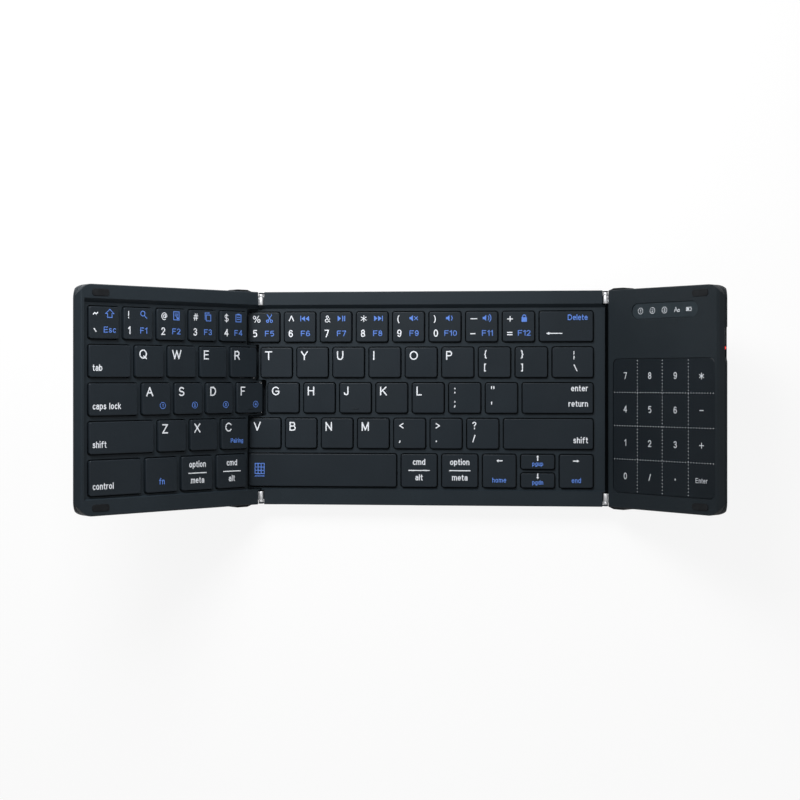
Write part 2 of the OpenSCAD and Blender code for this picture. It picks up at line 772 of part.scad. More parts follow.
// A shallow scoop with sloping ends round the charging port
module port_scoop() {
    x = axis_x + right_length + end_draft;
    translate([0, 0, floor_z - 0.1]) linear_extrude(parting_z - floor_z) polygon([
        [x + 1, port_scoop[0]], [x, port_scoop[0]], [x - port_scoop_depth, port_scoop[0] + 2.5],
        [x - port_scoop_depth, port_scoop[1] - 0.2], [x, port_scoop[1]], [x + 1, port_scoop[1]]
    ]);
}
module right_bottom_cover() {
    color(shell_color) on_right() difference() {
        union() {
            difference() {
                right_block(cover_z, parting_z);
                right_hollow(floor_z, parting_z + eps);
            }
            screw_posts(wing_screws_right());
            for (x = [14, 50], y = [6, 30]) translate([axis_x + x, y, floor_z - eps])
                cylinder(r = 1.5, h = main_board_z - floor_z + eps);
            intersection() {
                right_block(cover_z, step_floor_z);
                linear_extrude(rail_z) right_ledge_shape(ledge_gap + 1);
            }
        }
        linear_extrude(step_z) right_ledge_shape(ledge_gap);
        groove_ring() right_outline(groove_depth);
        screw_holes(wing_screws_right());
        port_scoop();
        port_cut(0.1);
        translate([axis_x + port_face - 4, charge_light_y, port_z + port_size[2] / 2]) rotate([0, 90, 0])
            cylinder(r = charge_light_radius + 0.05, h = 10);
    }
}
module right_top_frame() {
    color(shell_color) on_right() difference() {
        union() {
            difference() {
                right_block(parting_z, rail_z);
                right_hollow(parting_z - eps, rail_z - lid_t);
                translate([0, 0, rail_z - pad_top_drop - pad_t]) linear_extrude(panel_height) pad_shape(pad_gap);
                translate([0, 0, parting_z]) linear_extrude(panel_height) pad_shape(-0.3);
                translate([0, 0, parting_z]) linear_extrude(panel_height) window_shape(0.05);
                bumper_set(axis_x + right_bumper_x, rail_z - bumper_seat, 0.05);
            }
            bosses(wing_screws_right(), rail_z - lid_t);
        }
        boss_holes(wing_screws_right());
        translate([axis_x, 0, 0]) leaf_pockets(true);
    }
}
module touchpad() {
    color(key_color) on_right() translate([0, 0, rail_z - pad_top_drop - pad_t]) linear_extrude(pad_t) pad_shape(0);
}
module touch_board() {
    color(board_color) on_right() translate([0, 0, rail_z - pad_top_drop - pad_t - board_t])
        linear_extrude(board_t) pad_shape(-0.4);
}
module main_board() {
    color(board_color) on_right() difference() {
        slab(axis_x + 6, axis_x + right_length - wall - 0.7, 1.5, 43, main_board_z, main_board_z + board_t);
        slab(axis_x + port_face - port_size[0] - 0.3, axis_x + right_length, port_y - 4, port_y + 4, 0, rail_z);
        for (x = [14, 50], y = [6, 30]) translate([axis_x + x, y, 0]) cylinder(r = 0.6, h = rail_z);
        translate([axis_x + 36, 10, main_board_z + board_t - 0.2]) cube([6, 6, 1]);
    }
}
module battery() {
    color([0.7, 0.72, 0.74]) on_right() {
        translate([axis_x + right_length / 2 + 1, battery_y, 0])
            rounded_block(battery_size[0], battery_size[1], 1.5, floor_z, floor_z + battery_size[2]);
        slab(axis_x + 22, axis_x + 40, battery_y + battery_size[1] / 2 - eps, battery_y + battery_size[1] / 2 + 3,
             floor_z + 1, floor_z + 2);
    }
}
module indicator_window() {
    color([0.22, 0.24, 0.27]) on_right() {
        translate([0, 0, rail_z - lid_t - 0.4]) linear_extrude(lid_t + 0.4 - window_drop) window_shape(0);
        translate([0, 0, rail_z - lid_t - 0.4]) linear_extrude(0.4) window_shape(0.8);
    }
}
module indicator_lights() {
    board_top = main_board_z + board_t;
    color([0.9, 0.9, 0.85]) on_right() {
        for (x = light_starts) slab(axis_x + x - 0.8, axis_x + x + 0.8, window_y - 0.5, window_y + 0.5, board_top, board_top + 0.7);
        translate([axis_x + port_face - 1.2, charge_light_y, port_z + port_size[2] / 2]) rotate([0, 90, 0])
            cylinder(r = charge_light_radius, h = 1.3);
    }
}
module charge_port() {
    color(steel_color) on_right() translate([axis_x + port_face - port_size[0], port_y, port_z]) difference() {
        translate([0, -port_size[1] / 2, 0]) cube(port_size);
        translate([0.8, -port_size[1] / 2 + 0.3, 0.3]) cube([port_size[0], port_size[1] - 0.6, port_size[2] - 0.6]);
    }
    color(shell_color) on_right() translate([axis_x + port_face - port_size[0] + 0.7, port_y, port_z + 0.8])
        translate([0, -2, 0]) cube([3.8, 4, 0.7]);
}
module right_screws() { on_right() screws(wing_screws_right()); }
module right_feet() {
    color(rubber_color) on_right() difference() {
        wing_feet(axis_x + right_lug_x, axis_x + 48);
        right_block(cover_z, rail_z);
        linear_extrude(step_z) right_ledge_shape(ledge_gap);
    }
}
module right_bumpers() { color(rubber_color) on_right() bumper_set(axis_x + right_bumper_x, rail_z - bumper_seat, 0); }

// Hinge leaves, each with its knuckle rolled round the pin, drawn on an axis at x = 0 with the leaf towards +X
module hinge_leaf(long) {
    bore = pin_radius + (long ? pin_clearance : 0.01);
    both_rails() difference() {
        union() {
            translate([0, leaf_y1(long), axis_z]) rotate([90, 0, 0]) cylinder(r = barrel_radius, h = leaf_y1(long) - leaf_y0(long));
            leaf_plate(long);
        }
        translate([0, barrel_end + 1, axis_z]) rotate([90, 0, 0]) cylinder(r = bore, h = barrel_length + 2);
    }
}
module center_hinge_leaves() {
    color(steel_color) on_center() for (side = [-1, 1])
        translate([side * axis_x, 0, 0]) mirror([side > 0 ? 1 : 0, 0, 0]) hinge_leaf(false);
}
module left_hinge_leaves() { color(steel_color) on_left() translate([-axis_x, 0, 0]) mirror([1, 0, 0]) hinge_leaf(true); }
module right_hinge_leaves() { color(steel_color) on_right() translate([axis_x, 0, 0]) hinge_leaf(true); }
module hinge_pins() {
    color(steel_color) on_center() for (side = [-1, 1]) both_rails()
        translate([side * axis_x, barrel_end - 0.1, axis_z]) rotate([90, 0, 0]) cylinder(r = pin_radius, h = barrel_length - 0.2);
}

// Key caps: hollow shells with a flat top
module key_caps(keys) {
    color(key_color) for (k = keys) translate([k[0], k[1], 0]) difference() {
        rounded_block(k[2] - 2 * key_gap, k[3] - 2 * key_gap, key_radius - key_gap, key_top_z - cap_height, key_top_z);
        rounded_block(k[2] - 2 * (key_gap + cap_wall), k[3] - 2 * (key_gap + cap_wall), 0.5,
                      key_top_z - cap_height - eps, cap_ceiling_z);
    }
}
module wing_caps(row, first, last) { on_left() key_caps(row_keys(left_rows, row, first, last)); }
module middle_caps(row, first, last) { on_center() key_caps(row_keys(center_rows, row, first, last)); }

module left_number_keys() { wing_caps(0, 0, 4); }
module tab_key() { wing_caps(1, 0, 0); }
module left_top_letter_keys() { wing_caps(1, 1, 4); }
module caps_lock_key() { wing_caps(2, 0, 0); }
module left_home_letter_keys() { wing_caps(2, 1, 4); }
module left_shift_key() { wing_caps(3, 0, 0); }
module left_bottom_letter_keys() { wing_caps(3, 1, 3); }
module control_key() { wing_caps(4, 0, 0); }
module fn_key() { wing_caps(4, 1, 1); }
module left_option_key() { wing_caps(4, 2, 2); }
module left_command_key() { wing_caps(4, 3, 3); }
module number_keys() { middle_caps(0, 0, 7); }
module backspace_key() { middle_caps(0, 8, 8); }
module top_letter_keys() { middle_caps(1, 0, 7); }
module backslash_key() { middle_caps(1, 8, 8); }
module home_letter_keys() { middle_caps(2, 0, 6); }
module enter_key() { middle_caps(2, 7, 7); }
module bottom_letter_keys() { middle_caps(3, 0, 6); }
module right_shift_key() { middle_caps(3, 7, 7); }
module space_key() { middle_caps(4, 0, 0); }
module right_modifier_keys() { middle_caps(4, 1, 2); }
module left_arrow_key() { middle_caps(4, 3, 3); }
module up_arrow_key() { on_center() key_caps([up_key]); }
module down_arrow_key() { on_center() key_caps([down_key]); }
module right_arrow_key() { middle_caps(4, 5, 5); }

center_bottom_cover();
center_top_frame();
center_key_plate();
center_membrane();
center_domes();
center_scissors();
center_stabilizers();
center_screws();
center_feet();
left_bottom_cover();
left_top_frame();
left_key_plate();
left_membrane();
left_domes();
left_scissors();
left_stabilizers();
left_screws();
left_feet();
left_bumpers();
right_bottom_cover();
right_top_frame();
touchpad();
touch_board();
main_board();
battery();
indicator_window();
indicator_lights();
charge_port();
right_screws();
right_feet();
right_bumpers();
center_hinge_leaves();
left_hinge_leaves();
right_hinge_leaves();
hinge_pins();
left_number_keys();
tab_key();
left_top_letter_keys();
caps_lock_key();
left_home_letter_keys();
left_shift_key();
left_bottom_letter_keys();
control_key();
fn_key();
left_option_key();
left_command_key();
number_keys();
backspace_key();
top_letter_keys();
backslash_key();
home_letter_keys();
enter_key();
bottom_letter_keys();
right_shift_key();
space_key();
right_modifier_keys();
left_arrow_key();
up_arrow_key();
down_arrow_key();
right_arrow_key();
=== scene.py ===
"""Looks of a folding pocket keyboard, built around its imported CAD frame.

The keyboard stands partly folded, as photographed: a flat middle panel, a key wing lifted on its left
and a touchpad wing lifted on its right. Caps, print and trim are drawn on their panel lying flat, in
millimetres, and then placed in the frame by that panel's own matrix. Housings are rounded CAD nodes.
"""

from __future__ import annotations

import json
import logging
import math
from collections.abc import Sequence
from dataclasses import dataclass, field
from enum import Enum

import bmesh
import bpy
from mathutils import Matrix, Vector

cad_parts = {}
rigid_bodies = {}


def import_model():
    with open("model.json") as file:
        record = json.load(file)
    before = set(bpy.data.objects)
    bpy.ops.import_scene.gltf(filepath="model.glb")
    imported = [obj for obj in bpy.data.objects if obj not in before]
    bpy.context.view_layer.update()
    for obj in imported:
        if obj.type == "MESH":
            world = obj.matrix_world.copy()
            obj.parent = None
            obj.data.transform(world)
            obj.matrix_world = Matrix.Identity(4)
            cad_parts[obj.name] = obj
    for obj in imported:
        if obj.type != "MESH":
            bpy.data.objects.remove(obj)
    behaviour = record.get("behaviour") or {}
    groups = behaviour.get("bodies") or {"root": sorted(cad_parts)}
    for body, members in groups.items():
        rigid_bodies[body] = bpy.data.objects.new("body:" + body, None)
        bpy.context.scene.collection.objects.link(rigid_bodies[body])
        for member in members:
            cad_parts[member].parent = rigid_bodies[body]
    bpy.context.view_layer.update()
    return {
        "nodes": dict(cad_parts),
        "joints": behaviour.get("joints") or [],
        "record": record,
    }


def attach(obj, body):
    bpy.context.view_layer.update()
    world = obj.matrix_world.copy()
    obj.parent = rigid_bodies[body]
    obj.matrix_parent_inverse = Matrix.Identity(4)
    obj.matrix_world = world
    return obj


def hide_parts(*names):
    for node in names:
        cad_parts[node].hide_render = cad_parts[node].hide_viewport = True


LOG = logging.getLogger("keyboard")
MM = 0.001
Colour = tuple[float, float, float]
Point = tuple[float, float]
Outline = list[Point]
Stroke = tuple[str, Outline]
WELD_MM = 0.002
FLAT_WITHIN = math.radians(1)
ROUNDED_FROM = math.radians(30)
ROUNDING_STEPS = 2
# Faces larger than this, in square metres, are shaded flat.
BROAD_FACE = 4e-6


def add_object(name: str, data: bpy.types.ID) -> bpy.types.Object:
    """A new object with this data, linked into the scene."""
    made = bpy.data.objects.new(name, data)
    bpy.context.scene.collection.objects.link(made)
    return made


def mesh_of(work: bmesh.types.BMesh, name: str) -> bpy.types.Mesh:
    """Turns a mesh being edited into a named one, and frees it."""
    mesh = bpy.data.meshes.new(name)
    work.to_mesh(mesh)
    work.free()
    return mesh


def linear(colour: Colour) -> Colour:
    """Turns a colour as seen on a screen, each part from 0 to 255, into linear light.

    Args:
        colour: red, green and blue from 0 to 255.

    Returns:
        The same colour in linear light, from 0 to 1.
    """
    parts = [c / 255 for c in colour]
    return tuple(c / 12.92 if c <= 0.04045 else ((c + 0.055) / 1.055) ** 2.4 for c in parts)


# Node trees


@dataclass(frozen=True)
class Socket:
    """An output in a node tree that can be used in Python expressions."""

    tree: bpy.types.NodeTree
    link: bpy.types.NodeSocket | None

    def maths(self, operation: str, *values: Socket | float) -> Socket:
        """Adds a Math node.

        Args:
            operation: the Math node's operation.
            values: its inputs in order.

        Returns:
            The node's result.
        """
        return add_node(self.tree, "ShaderNodeMath", {"operation": operation}, dict(enumerate(values)))

    def __add__(self, other: Socket | float) -> Socket:
        """self + other."""
        return self.maths("ADD", self, other)

    def __radd__(self, other: float) -> Socket:
        """other + self."""
        return self.maths("ADD", other, self)

    def __sub__(self, other: Socket | float) -> Socket:
        """self - other."""
        return self.maths("SUBTRACT", self, other)

    def __rsub__(self, other: float) -> Socket:
        """other - self."""
        return self.maths("SUBTRACT", other, self)

    def __mul__(self, other: Socket | float) -> Socket:
        """self * other."""
        return self.maths("MULTIPLY", self, other)

    def __rmul__(self, other: float) -> Socket:
        """other * self."""
        return self.maths("MULTIPLY", other, self)

    def __truediv__(self, other: Socket | float) -> Socket:
        """self / other."""
        return self.maths("DIVIDE", self, other)

    def __lt__(self, other: float) -> Socket:
        """1 where self is less than other, else 0."""
        return self.maths("LESS_THAN", self, other)

    def at_most(self, limit: float) -> Socket:
        """The smaller of self and limit."""
        return self.maths("MINIMUM", self, limit)

    def at_least(self, limit: float) -> Socket:
        """The larger of self and limit."""
        return self.maths("MAXIMUM", self, limit)

    def clamped(self) -> Socket:
        """self, held between 0 and 1."""
        return self.at_least(0).at_most(1)


def add_node(
    tree: bpy.types.NodeTree,
    kind: str,
    settings: dict[str, object] | None = None,
    inputs: dict[str | int, object] | None = None,
    output: str | int = 0,
) -> Socket:
    """Adds a node, sets it up and feeds its inputs.

    Args:
        tree: the shader or geometry tree.
        kind: the node's type.
        settings: its own settings, set first; stops gives a colour ramp's (place, grey level) pairs.
        inputs: a value or a Socket for each input, by name or by its place among those in use.
        output: the output to hand back, by name or place among those in use.

    Returns:
        The chosen output.
    """
    node = tree.nodes.new(kind)
    for name, value in (settings or {}).items():
        if name == "stops":
            ramp = node.color_ramp.elements
            while len(ramp) < len(value):
                ramp.new(0.5)
            for stop, (place, level) in zip(ramp, value):
                stop.position = place
                stop.color = (level, level, level, 1)
        else:
            setattr(node, name, value)
    live = [s for s in node.inputs if s.enabled]
    for key, value in (inputs or {}).items():
        slot = live[key] if isinstance(key, int) else next(s for s in live if s.name == key)
        if isinstance(value, Socket):
            tree.links.new(value.link, slot)
        elif slot.type == "RGBA":
            slot.default_value = (*value, 1)
        else:
            slot.default_value = value
    outs = [s for s in node.outputs if s.enabled]
    if not outs:
        return Socket(tree, None)
    chosen = outs[output] if isinstance(output, int) else next(s for s in outs if s.name == output)
    return Socket(tree, chosen)


class TreeBuilder:
    """Something that builds one node tree."""

    tree: bpy.types.NodeTree

    def add(
        self,
        kind: str,
        settings: dict[str, object] | None = None,
        inputs: dict[str | int, object] | None = None,
        output: str | int = 0,
    ) -> Socket:
        """Adds a node to this tree; the arguments are add_node's."""
        return add_node(self.tree, kind, settings, inputs, output)


# Finishes


class Surface(TreeBuilder):
    """One material's shader, built around a Principled BSDF."""

    def __init__(self, name: str) -> None:
        """Starts an empty material.

        Args:
            name: the material's name.
        """
        self.material = bpy.data.materials.new(name)
        self.material.use_nodes = True
        self.tree = self.material.node_tree
        self.tree.nodes.clear()
        self.place = self.add("ShaderNodeTexCoord", output="Object")

    def stretched(self, scale: tuple[float, float, float]) -> Socket:
        """The object's own coordinates, stretched by scale."""
        return self.add("ShaderNodeMapping", inputs={"Vector": self.place, "Scale": scale})

    def noise(self, size_mm: float, detail: float = 2, where: Socket | None = None) -> Socket:
        """Cloudy noise from 0 to 1.

        Args:
            size_mm: the size of its blots.
            detail: how many finer layers it has.
            where: the coordinates it reads, or None for the object's own.

        Returns:
            The noise's value.
        """
        settings = {"Vector": where or self.place, "Scale": 1 / (size_mm * MM), "Detail": detail}
        return self.add("ShaderNodeTexNoise", inputs=settings, output=0)

    def ramp(self, value: Socket, stops: Sequence[tuple[float, float]]) -> Socket:
        """value sent through a grey ramp with these (place, level) stops."""
        return self.add("ShaderNodeValToRGB", {"stops": stops}, {0: value})

    def mixed(self, share: Socket, first: Colour | Socket, second: Colour | Socket) -> Socket:
        """A colour between first, where share is 0, and second, where it is 1."""
        return self.add(
            "ShaderNodeMix", {"data_type": "RGBA"}, {"Factor": share, "A": first, "B": second}, "Result"
        )

    def bumped(self, height: Socket, depth_mm: float, strength: float = 1) -> Socket:
        """The normal of a surface with this height from 0 to 1.

        Args:
            height: the height.
            depth_mm: how far 0 to 1 is.
            strength: the share of it that shows.

        Returns:
            The normal.
        """
        inputs = {"Height": height, "Distance": depth_mm * MM, "Strength": strength}
        return self.add("ShaderNodeBump", inputs=inputs)

    def finish(self, **inputs: object) -> bpy.types.Material:
        """Ends the material in a Principled BSDF.

        Args:
            inputs: its sockets by name, with _ for a space.

        Returns:
            The material.
        """
        named = {key.replace("_", " "): value for key, value in inputs.items()}
        shader = self.add("ShaderNodeBsdfPrincipled", inputs=named)
        self.add("ShaderNodeOutputMaterial", inputs={"Surface": shader})
        return self.material


@dataclass(frozen=True)
class Finish:
    """A finish, whose material is made once."""

    name: str

    def material(self) -> bpy.types.Material:
        """This finish's material."""
        label = self.name + "_finish"
        return bpy.data.materials.get(label) or self.paint(Surface(label))

    def paint(self, surface: Surface) -> bpy.types.Material:
        """Builds the material.

        Args:
            surface: the empty material.

        Returns:
            The finished material.
        """
        raise NotImplementedError


@dataclass(frozen=True)
class MouldedPlastic(Finish):
    """Moulded plastic with a spark-eroded grain, a little handling sheen and slight changes of tone."""

    colour: Colour
    roughness: float = 0.5
    grain_mm: float = 0.35
    grain_depth_mm: float = 0.012
    shine: float = 0.2
    tone_change: float = 0.12

    def paint(self, surface: Surface) -> bpy.types.Material:
        """Builds the material; see Finish."""
        base = linear(self.colour)
        darker = tuple(c * (1 - self.tone_change) for c in base)
        lighter = tuple(c * (1 + self.tone_change) for c in base)
        tone = surface.noise(26, 3) * 0.6 + surface.noise(0.5, 1) * 0.4
        touched = surface.ramp(surface.noise(17, 4), [(0.42, 0), (0.7, 1)])
        grain = surface.noise(self.grain_mm, 2)
        return surface.finish(
            Base_Color=surface.mixed(surface.ramp(tone, [(0.3, 0), (0.7, 1)]), darker, lighter),
            Roughness=self.roughness + 0.06 * (grain - 0.5) - 0.07 * touched,
            Specular_IOR_Level=self.shine,
            Normal=surface.bumped(grain, self.grain_depth_mm),
        )


@dataclass(frozen=True)
class PrintedInk(Finish):
    """Screen-printed ink with slightly uneven cover."""

    colour: Colour
    roughness: float = 0.55

    def paint(self, surface: Surface) -> bpy.types.Material:
        """Builds the material; see Finish."""
        base = linear(self.colour)
        thin = tuple(c * 0.8 for c in base)
        cover = surface.ramp(surface.noise(0.25, 3), [(0.3, 0), (0.55, 1)])
        return surface.finish(
            Base_Color=surface.mixed(cover, thin, base),
            Roughness=self.roughness + 0.1 * surface.noise(0.4),
            Specular_IOR_Level=0.25,
            Normal=surface.bumped(surface.noise(0.15), 0.004),
        )


@dataclass(frozen=True)
class MouldedRubber(Finish):
    """Moulded rubber with a dusty bloom."""

    colour: Colour
    bloom: Colour
    roughness: float = 0.8

    def paint(self, surface: Surface) -> bpy.types.Material:
        """Builds the material; see Finish."""
        dust = surface.ramp(surface.noise(3.5, 5), [(0.45, 0), (0.85, 0.6)])
        return surface.finish(
            Base_Color=surface.mixed(dust, linear(self.colour), linear(self.bloom)),
            Roughness=self.roughness + 0.1 * surface.noise(0.6),
            Specular_IOR_Level=0.2,
            Normal=surface.bumped(surface.noise(0.2, 3), 0.02),
        )


@dataclass(frozen=True)
class WorkedSteel(Finish):
    """Steel with fine tool marks that run along one axis."""

    colour: Colour
    roughness: float = 0.28
    marks: tuple[float, float, float] = (1, 0.06, 1)
    mark_mm: float = 0.12

    def paint(self, surface: Surface) -> bpy.types.Material:
        """Builds the material; see Finish."""
        base = linear(self.colour)
        marks = surface.noise(self.mark_mm, 3, surface.stretched(self.marks))
        tarnish = surface.ramp(surface.noise(2.5, 4), [(0.5, 0), (0.9, 0.5)])
        dull = tuple(c * 0.55 for c in base)
        return surface.finish(
            Base_Color=surface.mixed(tarnish, base, dull),
            Metallic=1.0,
            Roughness=self.roughness + 0.16 * (marks - 0.5) + 0.12 * tarnish,
            Normal=surface.bumped(marks, 0.006),
        )


@dataclass(frozen=True)
class SolderMask(Finish):
    """A circuit board: lacquer over copper tracks, with tinned pads."""

    colour: Colour
    track: Colour
    track_mm: float = 1.1

    def paint(self, surface: Surface) -> bpy.types.Material:
        """Builds the material; see Finish."""
        scale = 1 / (self.track_mm * MM)
        cells = surface.add(
            "ShaderNodeTexVoronoi",
            {"distance": "MANHATTAN", "feature": "F1"},
            {"Vector": surface.place, "Scale": scale, "Randomness": 0.35},
            "Distance",
        )
        tracks = surface.ramp(cells, [(0.46, 0), (0.5, 1)])
        pads = cells < 0.12
        lacquer = surface.mixed(tracks, linear(self.colour), linear(self.track))
        return surface.finish(
            Base_Color=surface.mixed(pads, lacquer, (0.55, 0.55, 0.53)),
            Metallic=0.9 * pads,
            Roughness=0.32 + 0.1 * surface.noise(2),
            Normal=surface.bumped(tracks, 0.03),
        )


@dataclass(frozen=True)
class SmokedWindow(Finish):
    """A smoked window, nearly opaque, with a soft gloss."""

    colour: Colour
    roughness: float = 0.3

    def paint(self, surface: Surface) -> bpy.types.Material:
        """Builds the material; see Finish."""
        base = linear(self.colour)
        haze = surface.ramp(surface.noise(9, 3), [(0.35, 0), (0.75, 1)])
        return surface.finish(
            Base_Color=surface.mixed(haze, base, tuple(c * 1.25 for c in base)),
            Roughness=self.roughness + 0.08 * surface.noise(0.8),
            Specular_IOR_Level=0.35,
            Normal=surface.bumped(surface.noise(6), 0.01),
        )


@dataclass(frozen=True)
class LitLens(Finish):
    """A small coloured lens with a light behind it, brightest in the middle of its moulding."""

    colour: Colour
    glow: float = 1.2

    def paint(self, surface: Surface) -> bpy.types.Material:
        """Builds the material; see Finish."""
        base = linear(self.colour)
        cloud = surface.ramp(surface.noise(0.3, 2), [(0.2, 0.7), (0.8, 1)])
        lit = surface.mixed(cloud, tuple(c * 0.5 for c in base), base)
        return surface.finish(
            Base_Color=lit,
            Emission_Color=lit,
            Emission_Strength=self.glow,
            Roughness=0.25 + 0.1 * surface.noise(0.5),
            Normal=surface.bumped(surface.noise(0.3), 0.005),
        )


SHELL = MouldedPlastic("shell_plastic", (31, 39, 45), roughness=0.55, grain_depth_mm=0.02)
# A darker copy of the shell plastic for the touchpad wing's housings: painted shade, because that wing
# leans away from the lamps.
SHADED_WING_SHELL = MouldedPlastic("touch_wing_plastic", (25, 32, 37), roughness=0.55, grain_depth_mm=0.02)
KEYS = MouldedPlastic("key_plastic", (28, 35, 41), roughness=0.5, grain_mm=0.25, grain_depth_mm=0.008)
TOUCH = MouldedPlastic("touch_surface", (21, 27, 32), roughness=0.42, grain_mm=0.2, grain_depth_mm=0.005)
WINDOW = SmokedWindow("window_plastic", (33, 41, 46))
WHITE_INK = PrintedInk("white_ink", (228, 232, 238))
BLUE_INK = PrintedInk("blue_ink", (90, 130, 212))
GREY_INK = PrintedInk("grey_ink", (196, 201, 207))
RUBBER = MouldedRubber("foot_rubber", (19, 21, 24), (32, 35, 38))
SILICONE = MouldedRubber("dome_rubber", (228, 228, 220), (200, 202, 196), roughness=0.45)
LINKS = MouldedPlastic("link_plastic", (228, 228, 224), roughness=0.4, tone_change=0.04)
PLATE = WorkedSteel("plate_steel", (150, 152, 156), 0.38, (1, 0.03, 1), 0.3)
FILM = MouldedPlastic("switch_film", (24, 29, 31), roughness=0.25, grain_mm=3, grain_depth_mm=0.02)
HINGE = WorkedSteel("hinge_steel", (242, 243, 245), 0.5)
SCREW = WorkedSteel("screw_steel", (58, 58, 62), 0.35, (1, 1, 0.1), 0.2)
BOARD = SolderMask("circuit_board", (18, 62, 40), (30, 96, 60))
FOIL = WorkedSteel("battery_foil", (178, 181, 186), 0.42, (1, 1, 1), 4)
RED_LIGHT = LitLens("light_lens", (225, 50, 42))
PORT = WorkedSteel("port_metal", (170, 171, 175), 0.3, (0.05, 1, 1), 0.1)

OUTER = (SHELL, KEYS, TOUCH, WINDOW, RUBBER, HINGE, SCREW, RED_LIGHT, PORT)
INNER = (SILICONE, LINKS, PLATE, FILM, BOARD, FOIL)
FINISH_OF_SLOT: dict[str, Finish] = {finish.name: finish for finish in (*OUTER, *INNER)}


# The three panels


@dataclass(frozen=True)
class Panel:
    """A panel as drawn lying flat, in millimetres, and the matrix that places it in the frame."""

    body: str
    place: Matrix

    def placed(self, piece: bpy.types.Object, body: str | None = None, slot: str = "") -> bpy.types.Object:
        """Places a finished piece, and lets it ride.

        Args:
            piece: its mesh is on the flat panel, in millimetres.
            body: the CAD body it moves with, or None for the panel's own.
            slot: the record's material slot; not used.

        Returns:
            The piece.
        """
        piece.data.transform(self.place)
        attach(piece, body or self.body)
        LOG.info("%s: %d faces", piece.name, len(piece.data.polygons))
        return piece


def fold_place(joint: dict, drawing: Matrix) -> Matrix:
    """The matrix of a wing, from its fold joint.

    Args:
        joint: the record's joint; the wing lies flat at its lower limit.
        drawing: the matrix of the flat drawing.

    Returns:
        The wing's own matrix.
    """
    pivot, lift = Vector(joint["pos_m"]), -math.radians(joint["range_deg"][0])
    turn = Matrix.Rotation(lift, 4, Vector(joint["axis"]))
    return Matrix.Translation(pivot) @ turn @ Matrix.Translation(-pivot) @ drawing


def flat_panels(joints: list[dict]) -> tuple[Panel, Panel, Panel]:
    """The middle panel, the key wing and the touchpad wing, from the record's joints."""
    folds = {j["name"]: j for j in joints if j["type"] == "hinge"}
    left, right = folds["left_fold"], folds["right_fold"]
    middle = (left["pos_m"][0] + right["pos_m"][0]) / 2
    drawing = Matrix.Translation((middle, 0, 0)) @ Matrix.Scale(MM, 4)
    return (
        Panel("center_panel", drawing),
        Panel("left_wing", fold_place(left, drawing)),
        Panel("right_wing", fold_place(right, drawing)),
    )


def new_object(name: str, mesh: bpy.types.Mesh, finish: Finish) -> bpy.types.Object:
    """An object with this mesh and finish, in the scene."""
    piece = add_object(name, mesh)
    mesh.materials.clear()
    mesh.materials.append(finish.material())
    return piece


def softened(
    node: bpy.types.Object, body: str, width_mm: float, finish: Finish
) -> bpy.types.Object:
    """A copy of a CAD node with rounded edges, which stands for the node.

    Args:
        node: the CAD node.
        body: the body it rides on.
        width_mm: the width of the rounding.
        finish: its finish.

    Returns:
        The piece.
    """
    work = bmesh.new()
    work.from_mesh(node.data)
    bmesh.ops.remove_doubles(work, verts=work.verts, dist=WELD_MM * MM)
    bmesh.ops.dissolve_limit(work, angle_limit=FLAT_WITHIN, verts=work.verts, edges=work.edges)
    for face in work.faces:
        face.smooth = face.calc_area() < BROAD_FACE
    label = node.name + "_shape"
    piece = new_object(label, mesh_of(work, label), finish)
    rounding = piece.modifiers.new("rounding", "BEVEL")
    rounding.limit_method = "ANGLE"
    rounding.angle_limit = ROUNDED_FROM
    rounding.width = width_mm * MM
    rounding.segments = ROUNDING_STEPS
    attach(piece, body)
    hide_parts(node.name)
    LOG.info("%s: rounded by %.2f mm", piece.name, width_mm)
    return piece


# Geometry trees


class GeometryRecipe(TreeBuilder):
    """A Geometry Nodes tree with named inputs, run on one mesh and turned into a plain mesh."""

    def __init__(self, name: str, inputs: dict[str, float]) -> None:
        """Starts the tree.

        Args:
            name: the tree's name.
            inputs: its named sizes.
        """
        self.tree = bpy.data.node_groups.new(name, "GeometryNodeTree")
        panel = self.tree.interface
        panel.new_socket("Geometry", in_out="INPUT", socket_type="NodeSocketGeometry")
        self.sizes = dict(inputs)
        for label in inputs:
            panel.new_socket(label, in_out="INPUT", socket_type="NodeSocketFloat")
        panel.new_socket("Material", in_out="INPUT", socket_type="NodeSocketMaterial")
        panel.new_socket("Geometry", in_out="OUTPUT", socket_type="NodeSocketGeometry")
        entry = self.tree.nodes.new("NodeGroupInput")
        self.given = {s.name: Socket(self.tree, s) for s in entry.outputs if s.name}

    def end(self, geometry: Socket) -> None:
        """Ends the tree: instances are made real and get the finish."""
        real = self.add("GeometryNodeRealizeInstances", inputs={"Geometry": geometry})
        look = {"Geometry": real, "Material": self.given["Material"]}
        dressed = self.add("GeometryNodeSetMaterial", inputs=look)
        self.add("NodeGroupOutput", inputs={0: dressed})

    def run(self, name: str, source: bpy.types.Mesh, finish: Finish) -> bpy.types.Object:
        """Runs the tree on a mesh.

        Args:
            name: the new object's name.
            source: the mesh that goes in.
            finish: the finish of what comes out.

        Returns:
            An object with the resulting plain mesh.
        """
        worker = add_object(name + "_points", source)
        modifier = worker.modifiers.new("recipe", "NODES")
        modifier.node_group = self.tree
        values = {**self.sizes, "Material": finish.material()}
        for item in self.tree.interface.items_tree:
            if item.in_out == "INPUT" and item.name in values:
                modifier[item.identifier] = values[item.name]
        graph = bpy.context.evaluated_depsgraph_get()
        mesh = bpy.data.meshes.new_from_object(worker.evaluated_get(graph), depsgraph=graph)
        worker.modifiers.remove(modifier)
        bpy.data.objects.remove(worker)
        return new_object(name, mesh, finish)


